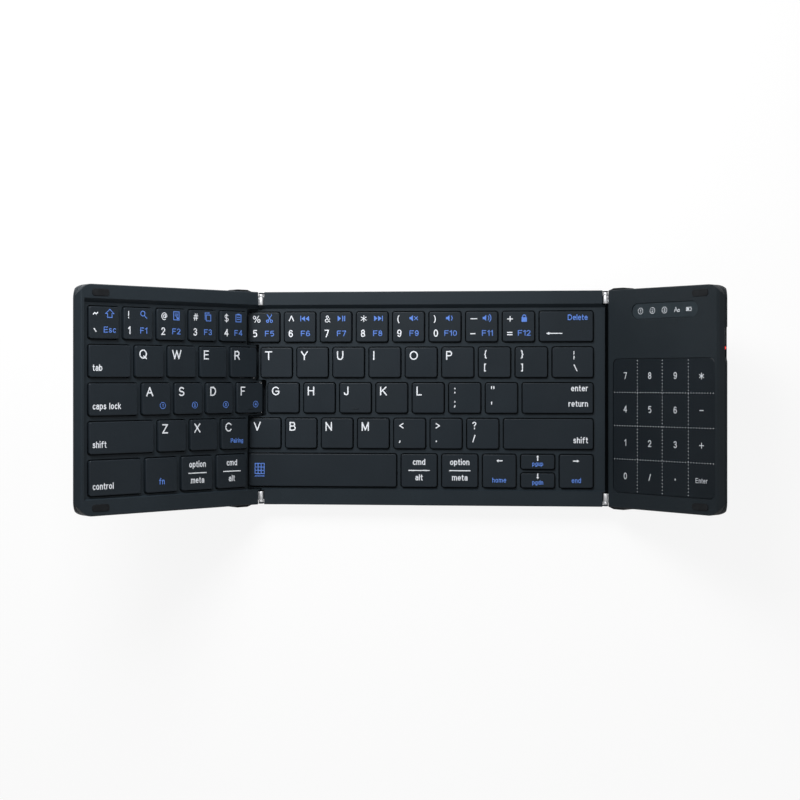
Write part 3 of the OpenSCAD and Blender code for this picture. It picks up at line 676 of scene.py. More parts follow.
class CapRecipe(GeometryRecipe):
    """Key caps: one small round cap is set on each point and pulled out to that key's width and depth."""

    CORNERS = 24
    RINGS = 6

    def __init__(self, radius: float, roll: float, height: float, wall: float) -> None:
        """Builds the tree.

        Args:
            radius: the corner radius, in millimetres as all of them.
            roll: the radius of the rolled top edge.
            height: the cap's height.
            wall: its wall and top thickness.
        """
        sizes = {"Corner Radius": radius, "Edge Roll": roll, "Height": height, "Wall": wall}
        super().__init__("key_caps", sizes)
        corner, edge = self.given["Corner Radius"], self.given["Edge Roll"]
        tall, thick = self.given["Height"], self.given["Wall"]
        drum = self.add(
            "GeometryNodeMeshCylinder",
            {"fill_type": "NGON"},
            {
                "Vertices": self.CORNERS,
                "Side Segments": self.RINGS,
                "Fill Segments": 3,
                "Radius": 1.0,
                "Depth": 1.0,
            },
            "Mesh",
        )
        drum = self.add(
            "GeometryNodeTransform", inputs={"Geometry": drum, "Rotation": (0, 0, math.pi / self.CORNERS)}
        )
        spot = self.add("GeometryNodeInputPosition")
        x, y, z = (self.add("ShaderNodeSeparateXYZ", inputs={0: spot}, output=i) for i in range(3))
        across = (x * x + y * y).maths("SQRT", x * x + y * y)
        ring = (z + 0.5) * float(self.RINGS)
        turn = ((ring - 1) / (self.RINGS - 1)).clamped() * (math.pi / 2)
        inside = (ring < 0.5) * (across < 0.9)
        rolled = corner - edge * (1 - turn.maths("COSINE", turn))
        reach = inside * (corner - thick) + (1 - inside) * across * rolled
        level = ring.at_most(1) * (tall - edge) - tall + edge * turn.maths("SINE", turn)
        level = level + inside * (across < 0.5) * (tall - thick)
        shaped = self.add(
            "GeometryNodeSetPosition",
            inputs={
                "Geometry": drum,
                "Position": self.add(
                    "ShaderNodeCombineXYZ", inputs={0: x / across * reach, 1: y / across * reach, 2: level}
                ),
            },
        )
        side = self.add(
            "ShaderNodeCombineXYZ", inputs={0: x.maths("SIGN", x), 1: y.maths("SIGN", y), 2: 0.0}
        )
        marked = self.add(
            "GeometryNodeStoreNamedAttribute",
            {"data_type": "FLOAT_VECTOR", "domain": "POINT"},
            {"Geometry": shaped, "Name": "side", "Value": side},
        )
        each = {"Points": self.given["Geometry"], "Instance": marked}
        spread = self.add("GeometryNodeInstanceOnPoints", inputs=each)
        real = self.add("GeometryNodeRealizeInstances", inputs={"Geometry": spread})
        half = [self.read("FLOAT", label) - corner for label in ("half_width", "half_depth")]
        pull = self.add("ShaderNodeCombineXYZ", inputs={0: half[0], 1: half[1], 2: 0.0})
        away = {0: pull, 1: self.read("FLOAT_VECTOR", "side")}
        offset = self.add("ShaderNodeVectorMath", {"operation": "MULTIPLY"}, away)
        self.end(self.add("GeometryNodeSetPosition", inputs={"Geometry": real, "Offset": offset}))

    def read(self, kind: str, name: str) -> Socket:
        """The value of a named attribute."""
        return self.add("GeometryNodeInputNamedAttribute", {"data_type": kind}, {"Name": name})


class DotRecipe(GeometryRecipe):
    """Rows of printed dots along the edges of a mesh."""

    CORNERS = 8

    def __init__(self, pitch: float, radius: float, thickness: float) -> None:
        """Builds the tree.

        Args:
            pitch: the step from dot to dot, in millimetres as all of them.
            radius: a dot's radius.
            thickness: a dot's thickness.
        """
        super().__init__("divider_dots", {"Pitch": pitch, "Radius": radius, "Thickness": thickness})
        line = self.add("GeometryNodeMeshToCurve", inputs={0: self.given["Geometry"]})
        points = self.add(
            "GeometryNodeResampleCurve", {"mode": "LENGTH"}, {"Curve": line, "Length": self.given["Pitch"]}
        )
        dot = self.add(
            "GeometryNodeMeshCylinder",
            {"fill_type": "NGON"},
            {"Vertices": self.CORNERS, "Radius": self.given["Radius"], "Depth": self.given["Thickness"]},
            "Mesh",
        )
        self.end(self.add("GeometryNodeInstanceOnPoints", inputs={"Points": points, "Instance": dot}))


# Printing

ARC_STEP_DEG = 24
SHARPEST_TURN = math.radians(85)


def arc(x: float, y: float, wide: float, tall: float, start: float, end: float) -> Outline:
    """Points along part of an ellipse.

    Args:
        x: its middle.
        y: its middle.
        wide: half its width.
        tall: half its height.
        start: where it starts, in degrees.
        end: where it ends; less than start runs clockwise.

    Returns:
        The points, about ARC_STEP_DEG apart.
    """
    steps = max(2, round(abs(end - start) / ARC_STEP_DEG))
    turns = [math.radians(start + (end - start) * i / steps) for i in range(steps + 1)]
    return [(x + wide * math.cos(t), y + tall * math.sin(t)) for t in turns]


def ring(x: float, y: float, wide: float, tall: float) -> Outline:
    """Points round a whole ellipse, the last one joining the first."""
    return arc(x, y, wide, tall, 0, 360)


def box(x0: float, y0: float, x1: float, y1: float) -> Outline:
    """A rectangle's corners."""
    return [(x0, y0), (x1, y0), (x1, y1), (x0, y1)]


def speaker() -> list[Stroke]:
    """The loudspeaker that the volume signs share."""
    cone = [(-0.4, -0.15), (-0.15, -0.4), (-0.15, 0.4), (-0.4, 0.15)]
    return [("fill", [(-0.6, -0.15), *cone, (-0.6, 0.15)])]


def track_arrow(x: float, way: float) -> Stroke:
    """A filled triangle that points along x."""
    return "fill", [(x, 0), (x - way * 0.45, 0.35 * way), (x - way * 0.45, -0.35 * way)]


class Icon(Enum):
    """The printed signs, as lines, closed loops and filled outlines.

    x and y are in shares of the sign's height, from its middle.
    """

    HOME = [
        ("loop", [(-0.55, 0), (0, 0.5), (0.55, 0), (0.3, 0), (0.3, -0.45), (-0.3, -0.45), (-0.3, 0)]),
    ]
    SEARCH = [("line", ring(-0.12, 0.14, 0.3, 0.3)), ("line", [(0.1, -0.1), (0.45, -0.45)])]
    SELECT = [
        ("loop", box(-0.4, -0.5, 0.4, 0.5)),
        ("line", [(-0.2, 0.22), (0.2, 0.22)]),
        ("line", [(-0.2, 0), (0.2, 0)]),
        ("fill", [(-0.05, -0.05), (0.45, -0.3), (0.1, -0.45)]),
    ]
    COPY = [
        ("loop", box(-0.25, -0.5, 0.42, 0.25)),
        ("line", [(-0.42, -0.3), (-0.42, 0.5), (0.2, 0.5)]),
    ]
    PASTE = [
        ("loop", box(-0.4, -0.5, 0.4, 0.4)),
        ("fill", box(-0.18, 0.34, 0.18, 0.54)),
        ("line", [(-0.2, 0.08), (0.2, 0.08)]),
        ("line", [(-0.2, -0.18), (0.2, -0.18)]),
    ]
    CUT = [
        ("line", ring(-0.25, -0.32, 0.15, 0.15)),
        ("line", ring(0.25, -0.32, 0.15, 0.15)),
        ("line", [(-0.17, -0.2), (0.28, 0.5)]),
        ("line", [(0.17, -0.2), (-0.28, 0.5)]),
    ]
    PREVIOUS = [
        track_arrow(-0.5, -1),
        track_arrow(0.02, -1),
        ("fill", box(-0.66, -0.35, -0.56, 0.35)),
    ]
    PLAY = [
        track_arrow(-0.05, 1),
        ("fill", box(0.1, -0.35, 0.22, 0.35)),
        ("fill", box(0.36, -0.35, 0.48, 0.35)),
    ]
    NEXT = [
        track_arrow(-0.02, 1),
        track_arrow(0.5, 1),
        ("fill", box(0.56, -0.35, 0.66, 0.35)),
    ]
    MUTE = [*speaker(), ("line", [(0.05, -0.2), (0.45, 0.2)]), ("line", [(0.05, 0.2), (0.45, -0.2)])]
    QUIETER = [*speaker(), ("line", arc(-0.2, 0, 0.4, 0.4, -40, 40))]
    LOUDER = [
        *speaker(),
        ("line", arc(-0.2, 0, 0.4, 0.4, -40, 40)),
        ("line", arc(-0.2, 0, 0.66, 0.66, -42, 42)),
    ]
    LOCK = [("fill", box(-0.34, -0.5, 0.34, 0.08)), ("line", arc(0, 0.08, 0.22, 0.3, 0, 180))]
    GRID = [
        ("loop", box(-0.36, -0.3, 0.36, 0.5)),
        ("line", [(-0.36, 0.22), (0.36, 0.22)]),
        ("line", [(-0.36, -0.04), (0.36, -0.04)]),
        ("line", [(-0.12, -0.3), (-0.12, 0.5)]),
        ("line", [(0.12, -0.3), (0.12, 0.5)]),
        ("line", [(-0.36, -0.48), (0.36, -0.48)]),
    ]
    BATTERY = [
        ("loop", box(-0.6, -0.32, 0.5, 0.32)),
        ("fill", box(-0.48, -0.2, 0.05, 0.2)),
        ("fill", box(0.5, -0.12, 0.64, 0.12)),
    ]
    CAPITALS = [
        ("line", [(-0.5, -0.4), (-0.15, 0.45), (0.2, -0.4)]),
        ("line", [(-0.36, -0.1), (0.06, -0.1)]),
        ("loop", box(0.35, -0.4, 0.7, 0.0)),
    ]
    LEFT = [("line", [(-0.3, 0), (0.55, 0)]), ("fill", [(-0.55, 0), (-0.15, 0.32), (-0.15, -0.32)])]
    RIGHT = [("line", [(-0.55, 0), (0.3, 0)]), ("fill", [(0.55, 0), (0.15, -0.32), (0.15, 0.32)])]
    UP = [("line", [(0, -0.55), (0, 0.3)]), ("fill", [(0, 0.55), (-0.32, 0.15), (0.32, 0.15)])]
    DOWN = [("line", [(0, -0.3), (0, 0.55)]), ("fill", [(0, -0.55), (0.32, -0.15), (-0.32, -0.15)])]
    LONG_LEFT = [("line", [(-3, 0), (2, 0)]), ("fill", [(-3.6, 0), (-2.5, 0.5), (-2.5, -0.5)])]
    RING = [("line", ring(0, 0, 0.5, 0.5))]


def split_at_corners(line: Outline) -> list[Outline]:
    """Cuts a pen line wherever it turns back sharply, so that each part can be drawn with square ends."""
    parts, start = [], 0
    for i in range(1, len(line) - 1):
        before, after = Vector(line[i]) - Vector(line[i - 1]), Vector(line[i + 1]) - Vector(line[i])
        if before.angle(after, 0) > SHARPEST_TURN:
            parts.append(line[start : i + 1])
            start = i
    return [*parts, line[start:]]


def stroke_faces(line: Outline, width: float) -> list[Outline]:
    """A line drawn with a square pen, whose ends stand out by half its width.

    Args:
        line: its points; if the last one is the first one again, the line is closed.
        width: the pen's width.

    Returns:
        Its faces, each an outline.
    """
    closed = math.dist(line[0], line[-1]) < 1e-6
    points = line[:-1] if closed else line
    count = len(points)
    edges: list[tuple[Vector, Vector]] = []
    for i, here in enumerate(points):
        before = points[i - 1] if closed or i else None
        after = points[(i + 1) % count] if closed or i < count - 1 else None
        ways = [Vector(b) - Vector(a) for a, b in ((before, here), (here, after)) if a and b]
        normals = [Vector((-w.y, w.x)).normalized() for w in ways]
        middle = sum(normals, Vector((0, 0))).normalized()
        mitre = width / 2 / max(0.5, middle.dot(normals[0]))
        end = sum(ways, Vector((0, 0))).normalized() * (width / 2 * ((after is None) - (before is None)))
        edges.append((Vector(here) + end + middle * mitre, Vector(here) + end - middle * mitre))
    if closed:
        edges.append(edges[0])
    return [[tuple(a[0]), tuple(a[1]), tuple(b[1]), tuple(b[0])] for a, b in zip(edges, edges[1:])]


# The letters as pen lines. y runs from 0 at the baseline to 1 at a capital's top, and x from 0 to the
# letter's width.
BOWL = ring(0.24, 0.36, 0.24, 0.36)
STEM = [(0, 0), (0, 1)]
SHORT_STEM = [(0, 0), (0, 0.72)]
DOT = [(0, 0), (0, 0.08)]
SHOULDER = [*arc(0.21, 0.5, 0.21, 0.22, 180, 0), (0.42, 0)]
HOOP = [(0, 1), (0.38, 1), *arc(0.38, 0.73, 0.26, 0.27, 90, -90), (0, 0.46)]
SNAKE = [*arc(0.34, 0.74, 0.31, 0.26, 30, 270), *arc(0.34, 0.25, 0.34, 0.25, 90, -150)]


def flipped(lines: list[Outline], width: float) -> list[Outline]:
    """Pen lines mirrored left to right within a letter's width."""
    return [[(width - x, y) for x, y in line] for line in lines]


def raised(line: Outline, height: float) -> Outline:
    """A pen line moved up."""
    return [(x, y + height) for x, y in line]


def shifted(line: Outline, run: float) -> Outline:
    """A pen line moved right."""
    return [(x + run, y) for x, y in line]


BRACKET = [[(0.16, 0.98), (0, 0.98), (0, -0.1), (0.16, -0.1)]]
BRACE = [[(0.24, 1), (0.13, 0.93), (0.13, 0.56), (0, 0.42), (0.13, 0.28), (0.13, -0.08), (0.24, -0.15)]]
ROUND = [arc(0.5, 0.42, 0.5, 0.72, 128, 232)]
ANGLE = [[(0.5, 0.76), (0, 0.42), (0.5, 0.08)]]
LETTERS: dict[str, list[Outline]] = {
    "A": [[(0, 0), (0.43, 1), (0.86, 0)], [(0.16, 0.36), (0.7, 0.36)]],
    "B": [
        [(0, 0), (0, 1), (0.36, 1), *arc(0.38, 0.77, 0.23, 0.23, 90, -90), (0, 0.54)],
        [(0.38, 0.54), *arc(0.4, 0.27, 0.27, 0.27, 90, -90), (0, 0)],
    ],
    "C": [arc(0.46, 0.5, 0.46, 0.5, 42, 318)],
    "D": [[(0, 0), (0, 1), (0.32, 1), *arc(0.32, 0.5, 0.41, 0.5, 90, -90), (0, 0)]],
    "E": [[(0.6, 1), (0, 1), (0, 0), (0.6, 0)], [(0, 0.53), (0.54, 0.53)]],
    "F": [[(0.57, 1), (0, 1), (0, 0)], [(0, 0.5), (0.48, 0.5)]],
    "G": [[*arc(0.45, 0.5, 0.45, 0.5, 42, 325), (0.86, 0.46), (0.48, 0.46)]],
    "H": [STEM, shifted(STEM, 0.7), [(0, 0.53), (0.7, 0.53)]],
    "I": [STEM],
    "J": [[(0.46, 1), *arc(0.23, 0.25, 0.23, 0.25, 0, -180)]],
    "K": [STEM, [(0.68, 1), (0, 0.34)], [(0.25, 0.58), (0.74, 0)]],
    "L": [[(0, 1), (0, 0), (0.54, 0)]],
    "M": [[(0, 0), (0, 1), (0.4, 0.08), (0.8, 1), (0.8, 0)]],
    "N": [[(0, 0), (0, 1), (0.7, 0), (0.7, 1)]],
    "O": [ring(0.47, 0.5, 0.47, 0.5)],
    "P": [STEM, HOOP],
    "Q": [ring(0.47, 0.5, 0.47, 0.5), [(0.56, 0.24), (0.94, -0.04)]],
    "R": [STEM, HOOP, [(0.4, 0.46), (0.68, 0)]],
    "S": [SNAKE],
    "T": [[(0, 1), (0.8, 1)], [(0.4, 1), (0.4, 0)]],
    "U": [[(0, 1), *arc(0.34, 0.34, 0.34, 0.34, 180, 360), (0.68, 1)]],
    "V": [[(0, 1), (0.4, 0), (0.8, 1)]],
    "W": [[(0, 1), (0.3, 0), (0.61, 0.96), (0.92, 0), (1.22, 1)]],
    "X": [[(0, 0), (0.74, 1)], [(0, 1), (0.76, 0)]],
    "Y": [[(0, 1), (0.38, 0.45), (0.76, 1)], [(0.38, 0.45), (0.38, 0)]],
    "Z": [[(0, 1), (0.66, 1), (0, 0), (0.68, 0)]],
    "0": [ring(0.27, 0.5, 0.27, 0.5)],
    "1": [[(0, 0.78), (0.24, 1), (0.24, 0)]],
    "2": [[*arc(0.26, 0.72, 0.26, 0.28, 170, -35), (0, 0), (0.54, 0)]],
    "3": [[*arc(0.25, 0.76, 0.23, 0.24, 160, -90), *arc(0.25, 0.26, 0.26, 0.26, 80, -160)]],
    "4": [[(0.44, 0), (0.44, 1), (0, 0.3), (0.6, 0.3)]],
    "5": [[(0.5, 1), (0.09, 1), (0.04, 0.56)], arc(0.27, 0.32, 0.27, 0.32, 120, -120)],
    "6": [ring(0.26, 0.3, 0.26, 0.3), [*arc(0.27, 0.55, 0.27, 0.45, 45, 180), (0, 0.3)]],
    "7": [[(0, 1), (0.52, 1), (0.18, 0)]],
    "8": [ring(0.26, 0.76, 0.22, 0.24), ring(0.26, 0.26, 0.26, 0.26)],
    "9": [ring(0.26, 0.7, 0.26, 0.3), [(0.52, 0.7), *arc(0.25, 0.45, 0.27, 0.45, 0, -135)]],
    "a": [
        [*arc(0.23, 0.53, 0.2, 0.19, 160, 0), (0.43, 0)],
        [(0.43, 0.43), *arc(0.18, 0.21, 0.18, 0.21, 90, 270), (0.43, 0.12)],
    ],
    "b": [STEM, BOWL],
    "c": [arc(0.23, 0.36, 0.23, 0.36, 45, 315)],
    "d": [shifted(STEM, 0.48), BOWL],
    "e": [[(0, 0.38), (0.48, 0.38), *arc(0.24, 0.36, 0.24, 0.36, 15, 315)]],
    "f": [[(0.36, 1), *arc(0.3, 0.82, 0.17, 0.18, 90, 180), (0.13, 0)], [(0, 0.7), (0.34, 0.7)]],
    "g": [BOWL, [(0.48, 0.72), *arc(0.24, -0.05, 0.24, 0.23, 0, -160)]],
    "h": [STEM, SHOULDER],
    "i": [SHORT_STEM, raised(DOT, 1.0)],
    "k": [STEM, [(0.4, 0.72), (0, 0.27)], [(0.15, 0.43), (0.44, 0)]],
    "l": [STEM],
    "m": [
        SHORT_STEM,
        [*arc(0.2, 0.53, 0.2, 0.19, 180, 0), (0.4, 0)],
        [*arc(0.6, 0.53, 0.2, 0.19, 180, 0), (0.8, 0)],
    ],
    "n": [SHORT_STEM, SHOULDER],
    "o": [BOWL],
    "p": [[(0, -0.28), (0, 0.72)], BOWL],
    "r": [SHORT_STEM, arc(0.26, 0.42, 0.26, 0.3, 180, 90)],
    "s": [[*arc(0.19, 0.54, 0.17, 0.18, 25, 270), *arc(0.19, 0.18, 0.2, 0.18, 90, -155)]],
    "t": [[(0.1, 0.95), *arc(0.22, 0.13, 0.12, 0.13, 180, 270), (0.26, 0)], [(0, 0.7), (0.26, 0.7)]],
    "u": [[(0, 0.72), *arc(0.21, 0.22, 0.21, 0.22, 180, 360), (0.42, 0.72)], [(0.42, 0.3), (0.42, 0)]],
    "~": [[(0, 0.36), (0.2, 0.58), (0.52, 0.4), (0.72, 0.62)]],
    "`": [[(0.05, 0.9), (0.35, 0.5)]],
    "!": [DOT, [(0, 0.42), (0, 1)]],
    "@": [
        ring(0.46, 0.46, 0.19, 0.22),
        [(0.66, 0.7), (0.66, 0.26), *arc(0.46, 0.46, 0.46, 0.52, -10, 300)],
    ],
    "#": [
        [(0.14, 0), (0.28, 1)],
        [(0.46, 0), (0.6, 1)],
        [(0.04, 0.68), (0.76, 0.68)],
        [(0, 0.32), (0.72, 0.32)],
    ],
    "$": [SNAKE, [(0.34, -0.13), (0.34, 1.13)]],
    "%": [[(0.26, 0), (0.86, 1)], ring(0.2, 0.76, 0.2, 0.24), ring(0.92, 0.23, 0.2, 0.24)],
    "^": [[(0, 0.22), (0.37, 1), (0.74, 0.22)]],
    "&": [
        [(0.78, 0), (0.2, 0.66), *arc(0.35, 0.79, 0.18, 0.21, 205, -25), (0.12, 0.42)]
        + [*arc(0.29, 0.23, 0.29, 0.23, 130, 330), (0.72, 0.5)]
    ],
    "*": [[(0.4, 0.05), (0.4, 1)], [(0, 0.28), (0.8, 0.77)], [(0, 0.77), (0.8, 0.28)]],
    "(": ROUND,
    ")": flipped(ROUND, 0.2),
    "_": [[(0, 0.45), (1.0, 0.45)]],
    "-": [[(0, 0.4), (0.65, 0.4)]],
    "+": [[(0.4, 0.0), (0.4, 0.8)], [(0, 0.4), (0.8, 0.4)]],
    "=": [[(0, 0.22), (0.68, 0.22)], [(0, 0.58), (0.68, 0.58)]],
    "[": BRACKET,
    "]": flipped(BRACKET, 0.16),
    "{": BRACE,
    "}": flipped(BRACE, 0.24),
    "|": [[(0, 1.05), (0, 0.62)], [(0, 0.24), (0, -0.2)]],
    "\\": [[(0, 1), (0.46, 0)]],
    "/": [[(0, 0), (0.32, 1)]],
    ":": [DOT, raised(DOT, 0.62)],
    ";": [raised(DOT, 0.62), [(0.02, 0.07), (0.02, 0), (-0.05, -0.16)]],
    '"': [[(0, 1), (0, 0.7)], [(0.36, 1), (0.36, 0.7)]],
    "'": [[(0, 0.62), (0, 0.32)]],
    "<": ANGLE,
    ">": flipped(ANGLE, 0.5),
    ",": [[(0.03, 0.07), (0.03, 0), (-0.04, -0.16)]],
    ".": [DOT],
    "?": [[*arc(0.23, 0.77, 0.23, 0.23, 165, -30), (0.25, 0.5), (0.25, 0.42)], shifted(DOT, 0.25)],
}
LETTER_GAP = 0.3
WORD_GAP = 0.8


def word_lines(text: str) -> tuple[list[Outline], float]:
    """A word as pen lines.

    Args:
        text: the word.

    Returns:
        Its pen lines, with capitals 1 high, and its width.
    """
    lines: list[Outline] = []
    x = 0.0
    for sign in text:
        if sign == " ":
            x += WORD_GAP - LETTER_GAP
            continue
        drawn = LETTERS[sign]
        lines += [shifted(part, x) for line in drawn for part in split_at_corners(line)]
        x += max(px for line in drawn for px, _ in line) + LETTER_GAP
    return lines, x - LETTER_GAP


class Side(Enum):
    """Where a mark's x counts from."""

    LEFT = -1
    MIDDLE = 0
    RIGHT = 1


class Ink(Enum):
    """The inks a key is printed in."""

    WHITE = WHITE_INK
    BLUE = BLUE_INK


@dataclass(frozen=True)
class Mark:
    """One printed mark on a key.

    x and y are in millimetres: x inwards from the chosen side of the key's opening, y up from its lower
    edge to a word's baseline or a sign's middle. size is a capital's height, or a sign's. Where what is
    empty, the mark is a level line as long as size. anchor says which part of a word x gives, where that
    isn't its side, and stretch how much wider than normal its letters are.
    """

    what: str | Icon
    size: float
    x: float
    y: float
    side: Side = Side.LEFT
    ink: Ink = Ink.WHITE
    pen: float = 0.0
    anchor: Side | None = None
    stretch: float = 1.0

    def line_width(self) -> float:
        """The pen's width: its own, or what suits the letters' height."""
        return self.pen or 0.08 + 0.115 * self.size


@dataclass
class InkSheet:
    """Everything printed in one ink on one body."""

    thickness: float = 0.02
    layer: float = 0.002
    weld: float = 0.0005
    points: list[tuple[float, float, float]] = field(default_factory=list)
    faces: list[list[int]] = field(default_factory=list)

    def fill(self, corners: Outline, level: float) -> None:
        """Adds one filled outline at this height."""
        start = len(self.points)
        self.points += [(x, y, level) for x, y in corners]
        self.faces.append(list(range(start, start + len(corners))))

    def stroke(self, line: Outline, width: float, level: float) -> None:
        """Adds a pen line at this height."""
        for quad in stroke_faces(line, width):
            self.fill(quad, level)

    def word(
        self,
        text: str,
        x: float,
        y: float,
        size: float,
        pen: float,
        side: Side,
        level: float,
        stretch: float = 1,
    ) -> None:
        """Adds a word.

        Args:
            text: the word.
            x: the place of its left edge, middle or right edge, as side says.
            y: its baseline.
            size: the height of a capital.
            pen: the width of its lines.
            side: which edge x gives.
            level: the height it lies at.
            stretch: how much wider than normal it is.
        """
        lines, width = word_lines(text)
        scale = size - pen
        wide = width * stretch * scale
        start = x + {Side.LEFT: pen / 2, Side.MIDDLE: -wide / 2, Side.RIGHT: -wide - pen / 2}[side]
        for i, line in enumerate(lines):
            placed = [(start + px * scale * stretch, y + pen / 2 + py * scale) for px, py in line]
            self.stroke(placed, pen, level + i * self.layer)

    def sign(self, icon: Icon, x: float, y: float, size: float, pen: float, level: float) -> None:
        """Adds a sign, centred at x, y."""
        for i, (kind, line) in enumerate(icon.value):
            placed = [(x + px * size, y + py * size) for px, py in line]
            if kind == "fill":
                self.fill(placed, level + i * self.layer)
            else:
                self.stroke(placed + placed[:1] if kind == "loop" else placed, pen, level + i * self.layer)

    def mesh(self, name: str) -> bpy.types.Mesh:
        """The sheet as thin closed layers of ink.

        Args:
            name: the mesh's name.

        Returns:
            The mesh, in flat panel millimetres.
        """
        work = bmesh.new()
        corners = [work.verts.new(p) for p in self.points]
        for f in self.faces:
            work.faces.new([corners[i] for i in f])
        bmesh.ops.remove_doubles(work, verts=work.verts, dist=self.weld)
        for face in work.faces:
            face.normal_update()
            if face.normal.z < 0:
                face.normal_flip()
        lifted = bmesh.ops.extrude_face_region(work, geom=work.faces[:])
        tops = [v for v in lifted["geom"] if isinstance(v, bmesh.types.BMVert)]
        bmesh.ops.translate(work, vec=(0, 0, self.thickness), verts=tops)
        bmesh.ops.recalc_face_normals(work, faces=work.faces[:])
        return mesh_of(work, name)


FINE_SIGNS = "@#$%&*"


def letter(text: str) -> list[Mark]:
    """A letter key's print."""
    return [Mark(text, 4.1, 2.4, 8.6)]


def blue_pair(icon: Icon, name: str, size: float = 3.6) -> list[Mark]:
    """A blue icon over its blue name."""
    return [
        Mark(icon, size, 5.15, 11.4, Side.RIGHT, Ink.BLUE, pen=0.36),
        Mark(name, 2.6, 5.15, 3.15, Side.RIGHT, Ink.BLUE, pen=0.36, anchor=Side.MIDDLE, stretch=1.25),
    ]


def digit(low: str, high: str, function: str, icon: Icon) -> list[Mark]:
    """A number key's print: its sign over its digit on the left, and its blue icon over its blue name."""
    return [
        Mark(high, 3.2, 2.6, 9.6, pen=0.32 if high in FINE_SIGNS else 0.42),
        Mark(low, 3.4, 2.55, 2.75),
        *blue_pair(icon, function),
    ]


def pair(low: str, high: str) -> list[Mark]:
    """A punctuation key's print: one sign over the other."""
    return [Mark(high, 3.4, 3.0, 9.6), Mark(low, 3.4, 3.0, 3.5)]


def word_low(text: str, side: Side = Side.LEFT) -> list[Mark]:
    """A word in a key's lower corner."""
    return [Mark(text, 2.8, 2.1 if side is Side.LEFT else 2.8, 3.2, side)]


def stacked(high: str, low: str) -> list[Mark]:
    """One word over another with a line between them."""
    return [
        Mark(high, 2.75, 0, 10.8, Side.MIDDLE),
        Mark("", 9.4, 0, 8.2, Side.MIDDLE, pen=0.45),
        Mark(low, 2.75, 0, 3.6, Side.MIDDLE),
    ]


def arrow(icon: Icon, name: str) -> list[Mark]:
    """An arrow over its blue name."""
    return [
        Mark(icon, 2.3, 0, 12.9, Side.MIDDLE, pen=0.5),
        Mark(name, 2.3, 0, 2.8, Side.MIDDLE, Ink.BLUE, pen=0.32),
    ]


def half_arrow(icon: Icon, name: str, arrow_y: float, name_y: float) -> list[Mark]:
    """The print of a key of half the height."""
    return [
        Mark(icon, 2.1, 0, arrow_y, Side.MIDDLE, pen=0.48),
        Mark(name, 2.0, 0, name_y, Side.MIDDLE, Ink.BLUE, pen=0.3),
    ]


def numbered(text: str, number: str) -> list[Mark]:
    """A letter with a ringed blue number."""
    return [
        *letter(text),
        Mark(Icon.RING, 2.8, 4.6, 4.5, Side.RIGHT, Ink.BLUE, pen=0.24),
        Mark(number, 1.5, 4.6, 3.75, Side.RIGHT, Ink.BLUE, anchor=Side.MIDDLE),
    ]


# The print of each node's keys, from left to right.
KEY_PRINT: dict[str, list[list[Mark]]] = {
    "left_number_keys": [
        [
            Mark("~", 3.3, 2.2, 9.7),
            Mark("`", 3.4, 2.4, 1.9),
            *blue_pair(Icon.HOME, "Esc", 3.7),
        ],
        digit("1", "!", "F1", Icon.SEARCH),
        digit("2", "@", "F2", Icon.SELECT),
        digit("3", "#", "F3", Icon.COPY),
        digit("4", "$", "F4", Icon.PASTE),
    ],
    "tab_key": [word_low("tab")],
    "left_top_letter_keys": [letter(c) for c in "QWER"],
    "caps_lock_key": [word_low("caps lock")],
    "left_home_letter_keys": [numbered(text, str(i)) for i, text in enumerate("ASDF", 1)],
    "left_shift_key": [word_low("shift")],
    "left_bottom_letter_keys": [
        letter("Z"),
        letter("X"),
        [*letter("C"), Mark("Pairing", 1.95, 3.2, 3.4, Side.RIGHT, Ink.BLUE)],
    ],
    "control_key": [word_low("control")],
    "fn_key": [[Mark("fn", 2.75, 0, 3.9, Side.MIDDLE, Ink.BLUE)]],
    "left_option_key": [stacked("option", "meta")],
    "left_command_key": [stacked("cmd", "alt")],
    "number_keys": [
        digit("5", "%", "F5", Icon.CUT),
        digit("6", "^", "F6", Icon.PREVIOUS),
        digit("7", "&", "F7", Icon.PLAY),
        digit("8", "*", "F8", Icon.NEXT),
        digit("9", "(", "F9", Icon.MUTE),
        digit("0", ")", "F10", Icon.QUIETER),
        digit("-", "_", "F11", Icon.LOUDER),
        digit("=", "+", "F12", Icon.LOCK),
    ],
    "backspace_key": [
        [
            Mark("Delete", 2.6, 2.9, 10.3, Side.RIGHT, Ink.BLUE),
            Mark(Icon.LONG_LEFT, 1.3, 8.2, 4.2, pen=0.42),
        ]
    ],
    "top_letter_keys": [*[letter(c) for c in "TYUIOP"], pair("[", "{"), pair("]", "}")],
    "backslash_key": [[Mark("|", 3.1, 10.1, 9.3), Mark("\\", 3.1, 10.2, 3.3)]],
    "home_letter_keys": [*[letter(c) for c in "GHJKL"], pair(";", ":"), pair("'", '"')],
    "enter_key": [[Mark("enter", 2.75, 2.8, 10.6, Side.RIGHT), Mark("return", 2.75, 2.8, 3.5, Side.RIGHT)]],
    "bottom_letter_keys": [*[letter(c) for c in "VBNM"], pair(",", "<"), pair(".", ">"), pair("/", "?")],
    "right_shift_key": [word_low("shift", Side.RIGHT)],
    "space_key": [[Mark(Icon.GRID, 6.0, 5.5, 8.1, ink=Ink.BLUE, pen=0.34)]],
    "right_modifier_keys": [stacked("cmd", "alt"), stacked("option", "meta")],
    "left_arrow_key": [arrow(Icon.LEFT, "home")],
    "up_arrow_key": [half_arrow(Icon.UP, "pgup", 5.7, 2.0)],
    "down_arrow_key": [half_arrow(Icon.DOWN, "pgdn", 5.7, 2.0)],
    "right_arrow_key": [arrow(Icon.RIGHT, "end")],
}


# Sub-assemblies


@dataclass(frozen=True)
class Cap:
    """A key cap's block on its flat panel, in millimetres."""

    x0: float
    x1: float
    y0: float
    y1: float
    top: float


